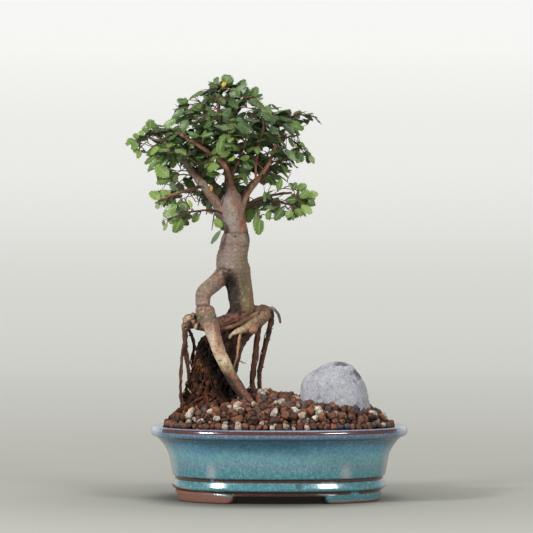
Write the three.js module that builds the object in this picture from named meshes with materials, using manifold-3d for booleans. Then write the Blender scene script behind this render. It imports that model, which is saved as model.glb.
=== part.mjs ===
// An exposed-root Chinese elm in an oval glazed pot, with a grey stone set in its soil.
// Millimetres, +Z up. The feet stand on Z = 0 and the pot is centred on X = Y = 0 while it is built.
// -Y is the front. At the end the group is shifted so that its origin is below the middle of the whole.

import * as THREE from 'three';
import { mergeVertices } from 'three/addons/utils/BufferGeometryUtils.js';
import Module from 'manifold-3d';

const wasm = await Module();
wasm.setup();

// Pot
const rimHalfLength = 100;
const rimHalfDepth = 79;
const potPower = 2.35;
const potHeight = 57.5;
const footHeight = 6;
const floorTop = 12;
const potSegments = 36;
const footBand = 13;
const footTaper = 1.2;
const footProud = 0.2;
const footLap = 0.6;
const footGapHalfX = 35;
const footGapHalfY = 17;
const drainHoleRadius = 8;
const drainHoleX = 38;
const drainHoleSides = 20;

// Drain screens
const screenSize = 24;
const screenThickness = 0.9;
const screenHole = 3.6;
const screenPitch = 5.6;

// Soil
const grainPitch = 12.4;
const grainRelief = 2.8;
const grainSway = 0.16;
const grainLift = [0.1, 0.9];
const bedOverhang = 6;
const bedInset = 1.5;
const soilEdgeHeight = 56.5;
const soilShoulder = 10;
const shoulderPower = 8;
const soilCrown = 8;
const soilMound = 7;
const moundX = -14;
const moundY = 2;
const moundSpread = 17;

// Root clump and stone: waves round each ring as [share of the radius, waves, turn, turn from row to row]
const clumpSides = 17;
const clumpWaves = [[0.06, 5, 0, 1.9], [0.05, 9, 0, -2.7]];
const clumpLift = 1.4;
const stoneSides = 18;
const stoneWaves = [[-0.055, 4, 0.6 + Math.PI / 2, 0], [0.03, 7, 0, 0.8]];
const stoneLift = 0.8;

// Limbs
const leastRadius = 0.4;
const limbTwist = 0.7;
const trunkUneven = 0.05;
const branchUneven = 0.02;

// Gaps: at rest, round what is cut for the wood and the stone, and round the clump
const mergeDistance = 0.01;
const restGap = 0.3;
const cutGap = restGap + 0.1;
const clumpGap = restGap * 2;
const cutOver = 2;
const openAbove = 60;

// Blades and stems
const leafLength = 14;
const leafWidth = 9.6;
const leafThickness = 0.7;
const leafSpacing = 3.7;
const budWidth = 1.6;
const shortStem = 7.5;
const shortStemBuds = 2;
const longStemBuds = 3;
const firstBud = 0.6;
const budRoom = 0.35;
const tipRoom = 0.9;
const mostTipRoom = 0.5;
const leafClearance = 0.5;
const keepThickness = leafThickness + 2 * leafClearance;
const stemRadius = 0.85;
const stemSides = 3;
const stemTaper = 0.35;
const stemArch = 0.1;
const stemSway = 0.05;
const stemAttempts = 12;
const leafAttempts = 24;
const startStep = 0.25;
const deepestStart = 13;

// How a blade stands to its twig, in radians or shares, and how much looser each new attempt is
const sideSwing = [0.75, 1.1];
const tipSwing = 0.25;
const leafPitch = 0.35;
const leafRoll = 0.4;
const looserEachTime = 0.1;
const leafSizes = [0.84, 1.12];
const smallLeaf = 0.85;
const keepSize = 1.05;
const keepSelf = 1.25;

// How far a blade's upper side turns to the sky and away from the middle of the crown
const upwardShare = 0.6;
const outwardShare = 0.7;
const leastUp = 0.3;

const finishes = {
  glaze: { color: 0x3f8785, roughness: 0.16, metalness: 0 },
  screen: { color: 0x23262a, roughness: 0.6, metalness: 0 },
  soil: { color: 0x5c3a2a, roughness: 0.95, metalness: 0 },
  clump: { color: 0x4a2c1d, roughness: 0.97, metalness: 0 },
  stone: { color: 0xa3a0a9, roughness: 0.85, metalness: 0 },
  bark: { color: 0x94806f, roughness: 0.85, metalness: 0 },
  leaf: { color: 0x4c7a30, roughness: 0.5, metalness: 0 },
};

// Seeded draws

let drawState = 20261;

function draw() {
  drawState = (drawState * 16807) % 2147483647;
  return drawState / 2147483647;
}

function drawBetween(low, high) {
  return low + (high - low) * draw();
}

// Solids

function solidOf(geometry) {
  geometry.deleteAttribute('normal');
  geometry.deleteAttribute('uv');
  const merged = mergeVertices(geometry, 1e-4);
  const mesh = new wasm.Mesh({
    numProp: 3,
    vertProperties: new Float32Array(merged.attributes.position.array),
    triVerts: new Uint32Array(merged.index.array),
    tolerance: mergeDistance,
  });
  return new wasm.Manifold(mesh);
}

function geometryOf(solid) {
  const mesh = solid.getMesh();
  const geometry = new THREE.BufferGeometry();
  geometry.setAttribute('position', new THREE.BufferAttribute(new Float32Array(mesh.vertProperties), 3));
  geometry.setIndex(new THREE.BufferAttribute(new Uint32Array(mesh.triVerts), 1));
  return geometry;
}

function volumeOf(solid) {
  return solid.isEmpty() ? 0 : solid.volume();
}

// The largest of a solid's separate bodies, so that no loose scrap stays.
function mainBody(solid) {
  let largest = null;
  for (const body of solid.decompose()) {
    if (largest === null || volumeOf(body) > volumeOf(largest)) {
      largest = body;
    }
  }
  return largest;
}

function meshOf(name, solid, finish) {
  const geometry = geometryOf(solid);
  geometry.computeVertexNormals();
  const mesh = new THREE.Mesh(geometry, new THREE.MeshStandardMaterial(finishes[finish]));
  mesh.name = name;
  return mesh;
}

// A closed skin over a stack of rings with equal counts, with a fan over each end.
function ringGeometry(rings) {
  const count = rings[0].length;
  const positions = [];
  const indices = [];
  for (const ring of rings) {
    for (const point of ring) {
      positions.push(point.x, point.y, point.z);
    }
  }
  for (let level = 0; level < rings.length - 1; level++) {
    for (let i = 0; i < count; i++) {
      const a = level * count + i;
      const b = level * count + (i + 1) % count;
      indices.push(a, b, b + count, a, b + count, a + count);
    }
  }
  const last = (rings.length - 1) * count;
  for (let i = 1; i < count - 1; i++) {
    indices.push(0, i + 1, i);
    indices.push(last, last + i, last + i + 1);
  }
  const geometry = new THREE.BufferGeometry();
  geometry.setAttribute('position', new THREE.Float32BufferAttribute(positions, 3));
  geometry.setIndex(indices);
  return geometry;
}

// A tapered limb through points of [x, y, z, radius], a little uneven round its section.
function limb(points, sides, options = {}) {
  const { swell = 0, uneven = trunkUneven } = options;
  const line = new THREE.CatmullRomCurve3(points.map((p) => new THREE.Vector3(p[0], p[1], p[2])));
  line.curveType = 'centripetal';
  const radii = new THREE.CatmullRomCurve3(points.map((p) => new THREE.Vector3(p[3], 0, 0)));
  const spans = points.length - 1;
  const rings = [];
  let across = new THREE.Vector3(0, 1, 0);
  for (let step = 0; step <= spans; step++) {
    const t = step / spans;
    const centre = line.getPoint(t);
    const tangent = line.getTangent(t);
    across = across.clone().addScaledVector(tangent, -across.dot(tangent)).normalize();
    const side = new THREE.Vector3().crossVectors(tangent, across);
    const radius = Math.max(leastRadius, radii.getPoint(t).x) + swell;
    const ring = [];
    for (let i = 0; i < sides; i++) {
      const angle = (i / sides) * 2 * Math.PI;
      const wave = 1 + uneven * (Math.sin(2 * angle + step * limbTwist) + Math.sin(3 * angle - step));
      const point = centre.clone();
      point.addScaledVector(across, Math.cos(angle) * radius * wave);
      point.addScaledVector(side, Math.sin(angle) * radius * wave);
      ring.push(point);
    }
    rings.push(ring);
  }
  return solidOf(ringGeometry(rings));
}

function joined(solids) {
  return solids.reduce((whole, next) => whole.add(next));
}

// How far out a ring's skin stands at an angle, as a share of its radius.
function waveAt(waves, angle, row) {
  let out = 1;
  for (const [share, count, turn, rowTurn] of waves) {
    out += share * Math.sin(count * angle + turn + row * rowTurn);
  }
  return out;
}

// Pot

function ovalRing(halfLength, halfDepth, z, segments = potSegments) {
  const ring = [];
  for (let i = 0; i < segments; i++) {
    const angle = ((i + 0.5) / segments) * 2 * Math.PI;
    const cos = Math.cos(angle);
    const sin = Math.sin(angle);
    const x = Math.sign(cos) * Math.pow(Math.abs(cos), 2 / potPower) * halfLength;
    const y = Math.sign(sin) * Math.pow(Math.abs(sin), 2 / potPower) * halfDepth;
    ring.push(new THREE.Vector3(x, y, z));
  }
  return ring;
}

// Each level is [inset from the rim's outer edge, height], from the base up and over the lip.
const outerLevels = [
  [19.2, footHeight],
  [19.0, 6.8],
  [20.0, 7.2],
  [19.9, 9.3],
  [18.0, 9.7],
  [17.2, 15.9],
  [19.2, 16.4],
  [19.0, 18.8],
  [17.2, 19.3],
  [14.6, 33],
  [12.4, 40.5],
  [4.6, 49],
  [0.4, 52],
  [0.2, 55.4],
  [4, potHeight],
  [10.5, potHeight - 1.4],
];

const cavityLevels = [
  [23.2, floorTop],
  [20.2, 32],
  [17.6, 43],
  [10.5, potHeight + cutOver],
];

function ovalStack(levels, shrink = 0) {
  return levels.map((level) => {
    const inset = level[0] + shrink;
    return ovalRing(rimHalfLength - inset, rimHalfDepth - inset, level[1]);
  });
}

function block(lowX, highX, lowY, highY, lowZ, highZ) {
  const geometry = new THREE.BoxGeometry(highX - lowX, highY - lowY, highZ - lowZ);
  geometry.translate((lowX + highX) / 2, (lowY + highY) / 2, (lowZ + highZ) / 2);
  return solidOf(geometry);
}

function upright(radius, lowZ, highZ, x, y) {
  const geometry = new THREE.CylinderGeometry(radius, radius, highZ - lowZ, drainHoleSides);
  geometry.rotateX(Math.PI / 2);
  geometry.translate(x, y, (lowZ + highZ) / 2);
  return solidOf(geometry);
}

// Four feet: a low ring under the wall, cut through at the middle of each side.
function makeFeet() {
  const inset = outerLevels[0][0];
  const top = footHeight + cutOver;
  const outerRings = ovalStack([[inset + footTaper, 0], [inset - footProud, footHeight + footLap]]);
  const innerRings = ovalStack([[inset + footBand, -cutOver], [inset + footBand, top]]);
  const gapAlong = block(-footGapHalfX, footGapHalfX, -rimHalfDepth, rimHalfDepth, -cutOver, top);
  const gapAcross = block(-rimHalfLength, rimHalfLength, -footGapHalfY, footGapHalfY, -cutOver, top);
  const ring = solidOf(ringGeometry(outerRings)).subtract(solidOf(ringGeometry(innerRings)));
  return ring.subtract(gapAlong).subtract(gapAcross);
}

function makePot() {
  const outside = solidOf(ringGeometry(ovalStack(outerLevels)));
  const cavity = solidOf(ringGeometry(ovalStack(cavityLevels)));
  let pot = outside.subtract(cavity).add(makeFeet());
  for (const x of [-drainHoleX, drainHoleX]) {
    pot = pot.subtract(upright(drainHoleRadius, footHeight - cutOver, floorTop + cutOver, x, 0));
  }
  return pot;
}

function makeScreen(x) {
  const half = screenSize / 2;
  const reach = screenHole / 2;
  const low = floorTop + restGap;
  const high = low + screenThickness;
  let screen = block(x - half, x + half, -half, half, low, high);
  for (let row = -1; row <= 1; row++) {
    for (let column = -1; column <= 1; column++) {
      const left = x + column * screenPitch - reach;
      const front = row * screenPitch - reach;
      const hole = block(left, left + screenHole, front, front + screenHole, low - cutOver, high + cutOver);
      screen = screen.subtract(hole);
    }
  }
  return screen;
}

// Soil

// 0 at the middle of the bed and 1 at the pot's wall.
function bedFraction(x, y) {
  const inset = cavityLevels[3][0] + bedInset;
  const across = Math.pow(Math.abs(x) / (rimHalfLength - inset), potPower);
  const deep = Math.pow(Math.abs(y) / (rimHalfDepth - inset), potPower);
  return Math.pow(across + deep, 1 / potPower);
}

function soilHeight(x, y) {
  const q = Math.min(bedFraction(x, y), 1);
  const away = (x - moundX) ** 2 + (y - moundY) ** 2;
  const mound = soilMound * Math.exp(-away / (2 * moundSpread ** 2));
  return soilEdgeHeight + soilShoulder * (1 - Math.pow(q, shoulderPower)) + soilCrown * (1 - q * q) + mound;
}

// The bed's top is a triangular lattice: a raised point for each grain, low points between them.
function soilLattice() {
  const reachX = rimHalfLength + bedOverhang;
  const reachY = rimHalfDepth + bedOverhang;
  const rowPitch = grainPitch * Math.sqrt(3) / 2;
  const rows = Math.ceil(2 * reachY / rowPitch) + 1;
  const columns = Math.ceil(2 * reachX / grainPitch) + 1;
  const positions = [];
  const indices = [];
  const crest = (row, column) => row * columns + column;
  for (let row = 0; row < rows; row++) {
    for (let column = 0; column < columns; column++) {
      const edge = row === 0 || column === 0 || row === rows - 1 || column === columns - 1;
      const sway = edge ? 0 : grainPitch * grainSway;
      const x = -reachX + (column + (row % 2) * 0.5) * grainPitch + drawBetween(-sway, sway);
      const y = -reachY + row * rowPitch + drawBetween(-sway, sway);
      positions.push(x, y, soilHeight(x, y) + drawBetween(...grainLift));
    }
  }
  const bottom = floorTop + restGap;
  const addFace = (a, b, c) => {
    const x = (positions[a * 3] + positions[b * 3] + positions[c * 3]) / 3;
    const y = (positions[a * 3 + 1] + positions[b * 3 + 1] + positions[c * 3 + 1]) / 3;
    const middle = positions.length / 3;
    positions.push(x, y, soilHeight(x, y) - grainRelief);
    indices.push(a, b, middle, b, c, middle, c, a, middle);
  };
  for (let row = 0; row < rows - 1; row++) {
    for (let column = 0; column < columns - 1; column++) {
      const a = crest(row, column);
      const b = crest(row, column + 1);
      const c = crest(row + 1, column);
      const d = crest(row + 1, column + 1);
      if (row % 2 === 0) {
        addFace(a, b, c);
        addFace(b, d, c);
      } else {
        addFace(a, b, d);
        addFace(a, d, c);
      }
    }
  }
  const rim = [];
  for (let column = 0; column < columns; column++) {
    rim.push(crest(0, column));
  }
  for (let row = 1; row < rows; row++) {
    rim.push(crest(row, columns - 1));
  }
  for (let column = columns - 2; column >= 0; column--) {
    rim.push(crest(rows - 1, column));
  }
  for (let row = rows - 2; row > 0; row--) {
    rim.push(crest(row, 0));
  }
  const base = positions.length / 3;
  for (const top of rim) {
    positions.push(positions[top * 3], positions[top * 3 + 1], bottom);
  }
  const centre = positions.length / 3;
  positions.push(0, 0, bottom);
  for (let i = 0; i < rim.length; i++) {
    const next = (i + 1) % rim.length;
    indices.push(rim[i], base + i, base + next, rim[i], base + next, rim[next]);
    indices.push(centre, base + next, base + i);
  }
  const geometry = new THREE.BufferGeometry();
  geometry.setAttribute('position', new THREE.Float32BufferAttribute(positions, 3));
  geometry.setIndex(indices);
  return solidOf(geometry);
}

function makeSoil(cutters) {
  const fill = [
    [cavityLevels[0][0], floorTop + restGap],
    ...cavityLevels.slice(1),
    [cavityLevels[3][0], potHeight + openAbove],
  ];
  let soil = soilLattice().intersect(solidOf(ringGeometry(ovalStack(fill, restGap))));
  const half = screenSize / 2 + restGap;
  const screenTop = floorTop + 2 * restGap + screenThickness;
  for (const x of [-drainHoleX, drainHoleX]) {
    soil = soil.subtract(block(x - half, x + half, -half, half, floorTop - cutOver, screenTop));
  }
  for (const cutter of cutters) {
    soil = soil.subtract(cutter);
  }
  return mainBody(soil);
}

// Root clump: the cone of earth and fine roots that the tree once grew over.

const clumpLevels = [
  { z: 58, x: -50, y: 4, halfX: 27, halfY: 25 },
  { z: 68, x: -50, y: 4, halfX: 26, halfY: 24 },
  { z: 77, x: -50, y: 3, halfX: 23.5, halfY: 22 },
  { z: 86, x: -51, y: 2, halfX: 19.5, halfY: 19 },
  { z: 96, x: -52, y: 1, halfX: 15.5, halfY: 15.5 },
  { z: 107, x: -53, y: 0, halfX: 11.5, halfY: 12 },
  { z: 118, x: -54.5, y: -1, halfX: 7.5, halfY: 8.5 },
  { z: 126, x: -55, y: -2, halfX: 4, halfY: 5 },
];

function clumpRings(swell) {
  return clumpLevels.map((level, row) => {
    const ring = [];
    for (let i = 0; i < clumpSides; i++) {
      const angle = (i / clumpSides) * 2 * Math.PI;
      const rough = waveAt(clumpWaves, angle, row);
      const x = level.x + Math.cos(angle) * (level.halfX * rough + swell);
      const y = level.y + Math.sin(angle) * (level.halfY * rough + swell);
      const z = level.z + (row === 0 ? -swell : swell + clumpLift * Math.sin(3 * angle + row));
      ring.push(new THREE.Vector3(x, y, z));
    }
    return ring;
  });
}

// Stone: outline levels of [height, middle x, middle y, half width, half depth].

const stoneLevels = [
  [56, 44, -8, 27, 21],
  [66, 44, -8, 27.5, 22],
  [77, 43.2, -8, 27, 21.5],
  [90, 42.2, -7.5, 25, 20],
  [97, 43, -7, 20, 16],
  [102.3, 45, -6.5, 13, 10.5],
  [105.6, 45, -6, 6.5, 5.5],
];

function makeStone(swell) {
  const rings = stoneLevels.map((level, row) => {
    const [z, x, y, halfX, halfY] = level;
    const ring = [];
    for (let i = 0; i < stoneSides; i++) {
      const angle = (i / stoneSides) * 2 * Math.PI;
      const facet = waveAt(stoneWaves, angle, row);
      const px = x + Math.cos(angle) * (halfX * facet + swell);
      const py = y + Math.sin(angle) * (halfY * facet + swell);
      const pz = z + (row === 0 ? -swell : swell + stoneLift * Math.sin(5 * angle + row));
      ring.push(new THREE.Vector3(px, py, pz));
    }
    return ring;
  });
  return solidOf(ringGeometry(rings));
}

// Wood: each limb is sides and a line of [x, y, z, radius].

const trunkLimbs = {
  trunk: [11, [[-36, 2, 240, 6.4], [-36, 1, 232, 7.6], [-35, 0, 224, 7.8], [-34, 0, 216, 7.7],
    [-33, 0, 209, 8.6], [-34, 0, 202, 11], [-35, 0, 193, 11.1], [-36, 0, 184, 11.9], [-35, 0, 176, 12.4],
    [-32, 1, 166, 10.6], [-30, 1, 155, 10.5], [-29, 2, 147, 10.6], [-30, 2, 139, 8.6]]],
  knee: [9, [[-40, 0, 182, 6], [-45, -3, 173, 6.6], [-53, -8, 165, 6.6], [-58, -11, 160, 6.3],
    [-59, -13, 152, 5.6], [-57, -15, 146, 7.2], [-53, -17, 137, 6.3], [-50, -19, 126, 5.4],
    [-46, -20, 114, 5.1], [-41, -21, 104, 4.9], [-35, -22, 93, 4.6], [-28, -23, 83, 3.9],
    [-21, -24, 74, 2.9], [-16, -24, 67, 2]]],
};

const rootLimbs = {
  crossRoot: [6, [[-23, 0, 144, 4.4], [-31, -3, 141, 5.1], [-42, -5, 138, 5.3], [-53, -6, 135, 5],
    [-63, -6, 136, 4.7], [-70, -5, 139, 4], [-73, -5, 134, 2.8], [-73, -5, 128, 2.1]]],
  leftHangA: [5, [[-73, -5, 132, 2.2], [-73, -5, 122, 1.9], [-71, -4, 106, 1.5], [-69, -2, 90, 1.2],
    [-66, 0, 76, 1], [-65, 1, 62, 1]]],
  leftHangB: [4, [[-72, -5, 126, 1.4], [-75, -8, 112, 1.1], [-76, -9, 97, 1], [-76, -8, 82, 1],
    [-73, -7, 66, 1], [-72, -7, 56, 1]]],
  leftHangC: [4, [[-71, -3, 134, 1.2], [-66, 1, 120, 1], [-67, 2, 106, 1], [-64, 3, 90, 1]]],
  loopRoot: [5, [[-12, 0, 147, 2.3], [-17, -7, 144, 1.9], [-26, -12, 139, 1.8], [-36, -14, 134, 1.5],
    [-46, -12, 132, 1.4]]],
  paleRoot: [6, [[-10, -2, 143, 4.4], [-14, -8, 140, 5], [-20, -11, 136, 4.5], [-28, -13, 132, 3.3],
    [-35, -13, 129, 1.8], [-39, -12, 125, 1.1]]],
  cutStub: [6, [[-19, -12, 134, 3.2], [-20, -21, 131, 3]]],
  innerRoot: [6, [[-16, -4, 137, 4.7], [-25, -6, 128, 4.2], [-31, -7, 118, 3.6], [-34, -6, 106, 3.2],
    [-37, -3, 93, 3]]],
  rightHangA: [5, [[-16, -2, 136, 2.6], [-17, -2, 126, 2.3], [-19, 0, 108, 2.2], [-21, 1, 95, 2],
    [-20, 2, 82, 1.8], [-19, 3, 70, 1.5]]],
  rightHangB: [5, [[-8, 1, 148, 3], [-6, 2, 140, 2.4], [-8, 3, 129, 1.9], [-12, 4, 112, 1.8],
    [-15, 5, 98, 1.7], [-15, 6, 82, 1.6], [-14, 7, 70, 1.4]]],
  rightKnob: [6, [[-24, 0, 145, 3.8], [-13, 0, 147.5, 3.6], [-7, 0, 146, 3.1]]],
  hookRoot: [4, [[-9, 0, 147, 1.6], [-5, -2, 148, 1.2], [-1, -3, 144, 1.1], [1, -4, 137, 1]]],
  backRootA: [6, [[-29, 5, 148, 5.4], [-31, 15, 136, 4.8], [-36, 23, 118, 4.2], [-39, 28, 99, 3.8],
    [-40, 31, 80, 3.2], [-40, 33, 64, 2.6]]],
  backRootB: [6, [[-34, 5, 146, 5], [-43, 14, 134, 4.3], [-50, 19, 119, 3.9], [-55, 23, 101, 3.5],
    [-58, 27, 82, 3], [-60, 29, 66, 2.4]]],
  coreRoot: [6, [[-32, 0, 145, 6], [-38, 0, 132, 5.6], [-43, 0, 117, 5.2], [-45, 1, 99, 4.7],
    [-45, 2, 82, 4]]],
};

const branchLimbs = {
  leader: [6, [[-36, 3, 234, 5.2], [-39, 6, 246, 3.4], [-41, 9, 260, 2.8], [-44, 9, 277, 2.2],
    [-47, 5, 294, 1.7], [-47, 0, 309, 1.2], [-49, -2, 319, 0.9]]],
  leaderLeft: [4, [[-46, 7, 284, 1.6], [-53, 3, 295, 1.3], [-57, -1, 309, 0.9]]],
  leaderRight: [4, [[-46, 5, 290, 1.6], [-41, 2, 302, 1.3], [-36, -2, 315, 0.9]]],
  leftMain: [6, [[-39, 0, 216, 4.4], [-48, -2, 229, 4.1], [-57, -6, 241, 3.5], [-66, -10, 252, 2.9],
    [-76, -13, 265, 2.1], [-88, -16, 276, 1.3], [-98, -18, 279, 0.9]]],
  leftMiddle: [4, [[-59, -7, 243, 1.8], [-69, -14, 240, 1.6], [-81, -23, 236, 1.3],
    [-95, -30, 229, 0.9]]],
  leftLow: [4, [[-40, -1, 221, 1.6], [-54, -12, 224, 1.2], [-69, -27, 222, 1], [-84, -40, 217, 0.9]]],
  centreMain: [6, [[-33, -5, 212, 2.6], [-33, -8, 226, 2.7], [-36, -12, 241, 2.4], [-40, -17, 255, 2.2],
    [-50, -26, 266, 2], [-62, -34, 273, 1.7], [-75, -41, 281, 1.1]]],
  centreRiser: [4, [[-38, -14, 247, 1.3], [-32, -21, 260, 1.1], [-27, -28, 272, 1],
    [-24, -32, 287, 0.9]]],
  rightMain: [5, [[-30, -3, 223, 2.8], [-25, -6, 236, 2.3], [-17, -8, 247, 2], [-9, -10, 259, 1.7],
    [-4, -8, 270, 1.4], [0, -3, 288, 0.9]]],
  rightRiser: [4, [[-18, -8, 246, 1.4], [-18, -14, 258, 1.2], [-16, -20, 272, 1], [-12, -26, 288, 0.9]]],
  rightArch: [4, [[-3, -7, 273, 1.3], [3, -4, 284, 1.1], [10, -2, 294, 1], [17, 0, 300, 0.9]]],
  rightLow: [4, [[-31, 1, 224, 2.2], [-18, -1, 229, 1.5], [-5, -6, 231, 1.2], [8, -12, 229, 0.9]]],
  backLeft: [5, [[-38, 4, 228, 3.4], [-48, 22, 242, 2.7], [-61, 38, 253, 2], [-78, 55, 267, 1.1]]],
  backRight: [5, [[-33, 4, 228, 3.2], [-23, 22, 243, 2.6], [-10, 40, 255, 1.9], [6, 56, 268, 1.1]]],
  backTop: [5, [[-40, 9, 254, 2.4], [-38, 26, 267, 1.9], [-34, 42, 281, 1.4], [-31, 50, 293, 1]]],
  backLowLeft: [4, [[-38, 4, 224, 2], [-54, 22, 235, 1.5], [-72, 39, 240, 1.1], [-82, 47, 241, 0.9]]],
  backLowRight: [4, [[-32, 5, 224, 2], [-17, 21, 233, 1.5], [1, 38, 238, 1.1], [10, 46, 239, 0.9]]],
};

function makeWood(swell) {
  const solids = [];
  for (const [sides, points] of [...Object.values(trunkLimbs), ...Object.values(rootLimbs)]) {
    solids.push(limb(points, sides, { swell }));
  }
  for (const [sides, points] of Object.values(branchLimbs)) {
    solids.push(limb(points, sides, { swell, uneven: branchUneven }));
  }
  return joined(solids);
}

// Leaves: a spray is one thin plate, a stem strip with a toothed blade growing from its edge at each bud.

// Half outline of a blade as [share along, share of the half width], with one notch above its widest tooth.
const bladeEdge = [[0.22, 0.66], [0.5, 1], [0.57, 0.78]];
const bladeDroop = 0.14;

// Points of { at, up } as the corners and triangles of a closed plate, the same triangles above and below.
function plateMesh(points, faces, boundary, thickness) {
  const corners = [];
  for (const side of [1, -1]) {
    for (const point of points) {
      corners.push(point.at.clone().addScaledVector(point.up, side * thickness / 2));
    }
  }
  const count = points.length;
  const triangles = [];
  for (const [a, b, c] of faces) {
    triangles.push([a, b, c], [a + count, c + count, b + count]);
  }
  boundary.forEach((a, i) => {
    const b = boundary[(i + 1) % boundary.length];
    triangles.push([a, a + count, b + count], [a, b + count, b]);
  });
  return { corners, triangles };
}

function plateSolid(points, faces, boundary, thickness) {
  const { corners, triangles } = plateMesh(points, faces, boundary, thickness);
  const geometry = new THREE.BufferGeometry().setFromPoints(corners);
  geometry.setIndex(triangles.flat());
  return solidOf(geometry);
}

// Does an edge of a closed mesh pass through one of its triangles that shares no corner with it?
function crossesItself({ corners, triangles }) {
  const boxes = triangles.map((triangle) => new THREE.Box3().setFromPoints(triangle.map((i) => corners[i])));
  const ray = new THREE.Ray();
  const edgeBox = new THREE.Box3();
  const hit = new THREE.Vector3();
  const passes = (a, b) => {
    const length = corners[a].distanceTo(corners[b]);
    edgeBox.setFromPoints([corners[a], corners[b]]);
    ray.origin.copy(corners[a]);
    ray.direction.copy(corners[b]).sub(corners[a]).normalize();
    return triangles.some((other, i) => {
      if (other.includes(a) || other.includes(b) || !edgeBox.intersectsBox(boxes[i])) {
        return false;
      }
      const [p, q, r] = other.map((k) => corners[k]);
      return ray.intersectTriangle(p, q, r, false, hit) !== null && hit.distanceTo(corners[a]) <= length;
    });
  };
  const crosses = (a, b) => a < b && passes(a, b);
  return triangles.some(([a, b, c]) => crosses(a, b) || crosses(b, c) || crosses(c, a));
}

// The blade's points beyond its base edge: up one side, the tip, and back down the other.
function bladePoints(base, forward, up, size) {
  const across = new THREE.Vector3().crossVectors(forward, up).normalize();
  const top = new THREE.Vector3().crossVectors(across, forward).normalize();
  const length = leafLength * size;
  const outline = [...bladeEdge, [1, 0], ...[...bladeEdge].reverse().map(([along, out]) => [along, -out])];
  return outline.map(([along, out]) => {
    const at = base.clone().addScaledVector(forward, along * length);
    at.addScaledVector(across, out * leafWidth * size / 2);
    at.addScaledVector(top, -bladeDroop * length * along * along);
    return { at, up: top };
  });
}

// Triangles of a blade whose base edge runs from point start to point end and whose own points follow first.
function bladeFaces(start, end, first) {
  const faces = [];
  let low = start;
  let high = end;
  const last = first + 2 * bladeEdge.length;
  for (let i = 0; i < bladeEdge.length; i++) {
    const nextHigh = first + i;
    const nextLow = last - i;
    faces.push([low, high, nextHigh], [low, nextHigh, nextLow]);
    low = nextLow;
    high = nextHigh;
  }
  faces.push([low, high, first + bladeEdge.length]);
  return faces;
}

function bladeAlone(start, end, points, thickness) {
  const all = [start, end, ...points];
  return plateSolid(all, bladeFaces(0, 1, 2), all.map((point, i) => i), thickness);
}

// Sprays: the limb each one grows from, the fraction along it, its tip, and how it arches.
const sprayPlan = [
  ['leader', 0.98, [-41, 0, 327]],
  ['leader', 0.86, [-30, 6, 323]],
  ['leader', 0.8, [-60, 12, 310]],
  ['leaderRight', 0.97, [-18, -4, 319]],
  ['leaderRight', 0.6, [-28, 10, 305]],
  ['leaderLeft', 0.95, [-54, -6, 322]],
  ['leaderLeft', 0.75, [-71, -10, 316]],
  ['leaderLeft', 0.35, [-78, -2, 306]],
  ['leader', 0.6, [-66, 16, 291]],
  ['leftMain', 0.97, [-118, -18, 280]],
  ['leftMain', 0.86, [-103, -14, 293]],
  ['leftMain', 0.72, [-92, -12, 295]],
  ['leftMain', 0.9, [-109, -20, 264]],
  ['leftMain', 0.66, [-101, -6, 256]],
  ['leftMain', 0.5, [-94, -22, 247]],
  ['leftMiddle', 0.96, [-101, -31, 237]],
  ['leftMiddle', 0.6, [-91, -16, 225]],
  ['leftLow', 0.97, [-91, -40, 209]],
  ['leftLow', 0.7, [-80, -30, 206]],
  ['leftLow', 0.45, [-63, -18, 212]],
  ['leftLow', 0.2, [-53, -8, 201]],
  ['centreMain', 0.97, [-78, -49, 290]],
  ['centreMain', 0.8, [-63, -46, 286]],
  ['centreMain', 0.62, [-52, -41, 259]],
  ['centreMain', 0.5, [-62, -30, 298]],
  ['centreRiser', 0.95, [-24, -38, 300]],
  ['centreRiser', 0.75, [-42, -36, 285]],
  ['centreRiser', 0.5, [-26, -36, 263]],
  ['rightMain', 0.98, [5, -4, 304]],
  ['rightMain', 0.6, [12, -14, 256]],
  ['rightMain', 0.45, [-8, -22, 245]],
  ['rightRiser', 0.97, [-12, -14, 307]],
  ['rightRiser', 0.7, [-3, -28, 281]],
  ['rightArch', 0.97, [33, 0, 292]],
  ['rightArch', 0.6, [19, 2, 284]],
  ['rightArch', 0.35, [27, -6, 262]],
  ['rightLow', 0.97, [30, -14, 238]],
  ['rightLow', 0.85, [23, -16, 221]],
  ['rightLow', 0.6, [6, -10, 216]],
  ['rightLow', 0.35, [-15, -10, 206]],
  ['backLeft', 0.97, [-92, 62, 272]],
  ['backLeft', 0.7, [-72, 58, 284]],
  ['backLeft', 0.55, [-90, 40, 258]],
  ['backRight', 0.97, [20, 60, 274]],
  ['backRight', 0.7, [-4, 56, 285]],
  ['backRight', 0.5, [12, 38, 257]],
  ['backTop', 0.97, [-30, 58, 303]],
  ['backTop', 0.6, [-52, 44, 294]],
  ['backLowLeft', 0.95, [-92, 50, 233]],
  ['backLowLeft', 0.55, [-66, 44, 224]],
  ['backLowRight', 0.95, [22, 50, 232]],
  ['backLowRight', 0.55, [-4, 44, 221]],
];

function limbLine(name) {
  const points = branchLimbs[name][1];
  const line = new THREE.CatmullRomCurve3(points.map((p) => new THREE.Vector3(p[0], p[1], p[2])));
  line.curveType = 'centripetal';
  return line;
}

function touches(candidate, placed) {
  for (const other of placed) {
    if (candidate.box.intersectsBox(other.box) && !candidate.solid.intersect(other.solid).isEmpty()) {
      return true;
    }
  }
  return false;
}

const worldUp = new THREE.Vector3(0, 0, 1);
const crownMiddle = new THREE.Vector3(-40, 4, 248);

function boxOf(solid) {
  return new THREE.Box3().setFromBufferAttribute(geometryOf(solid).attributes.position);
}

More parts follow.
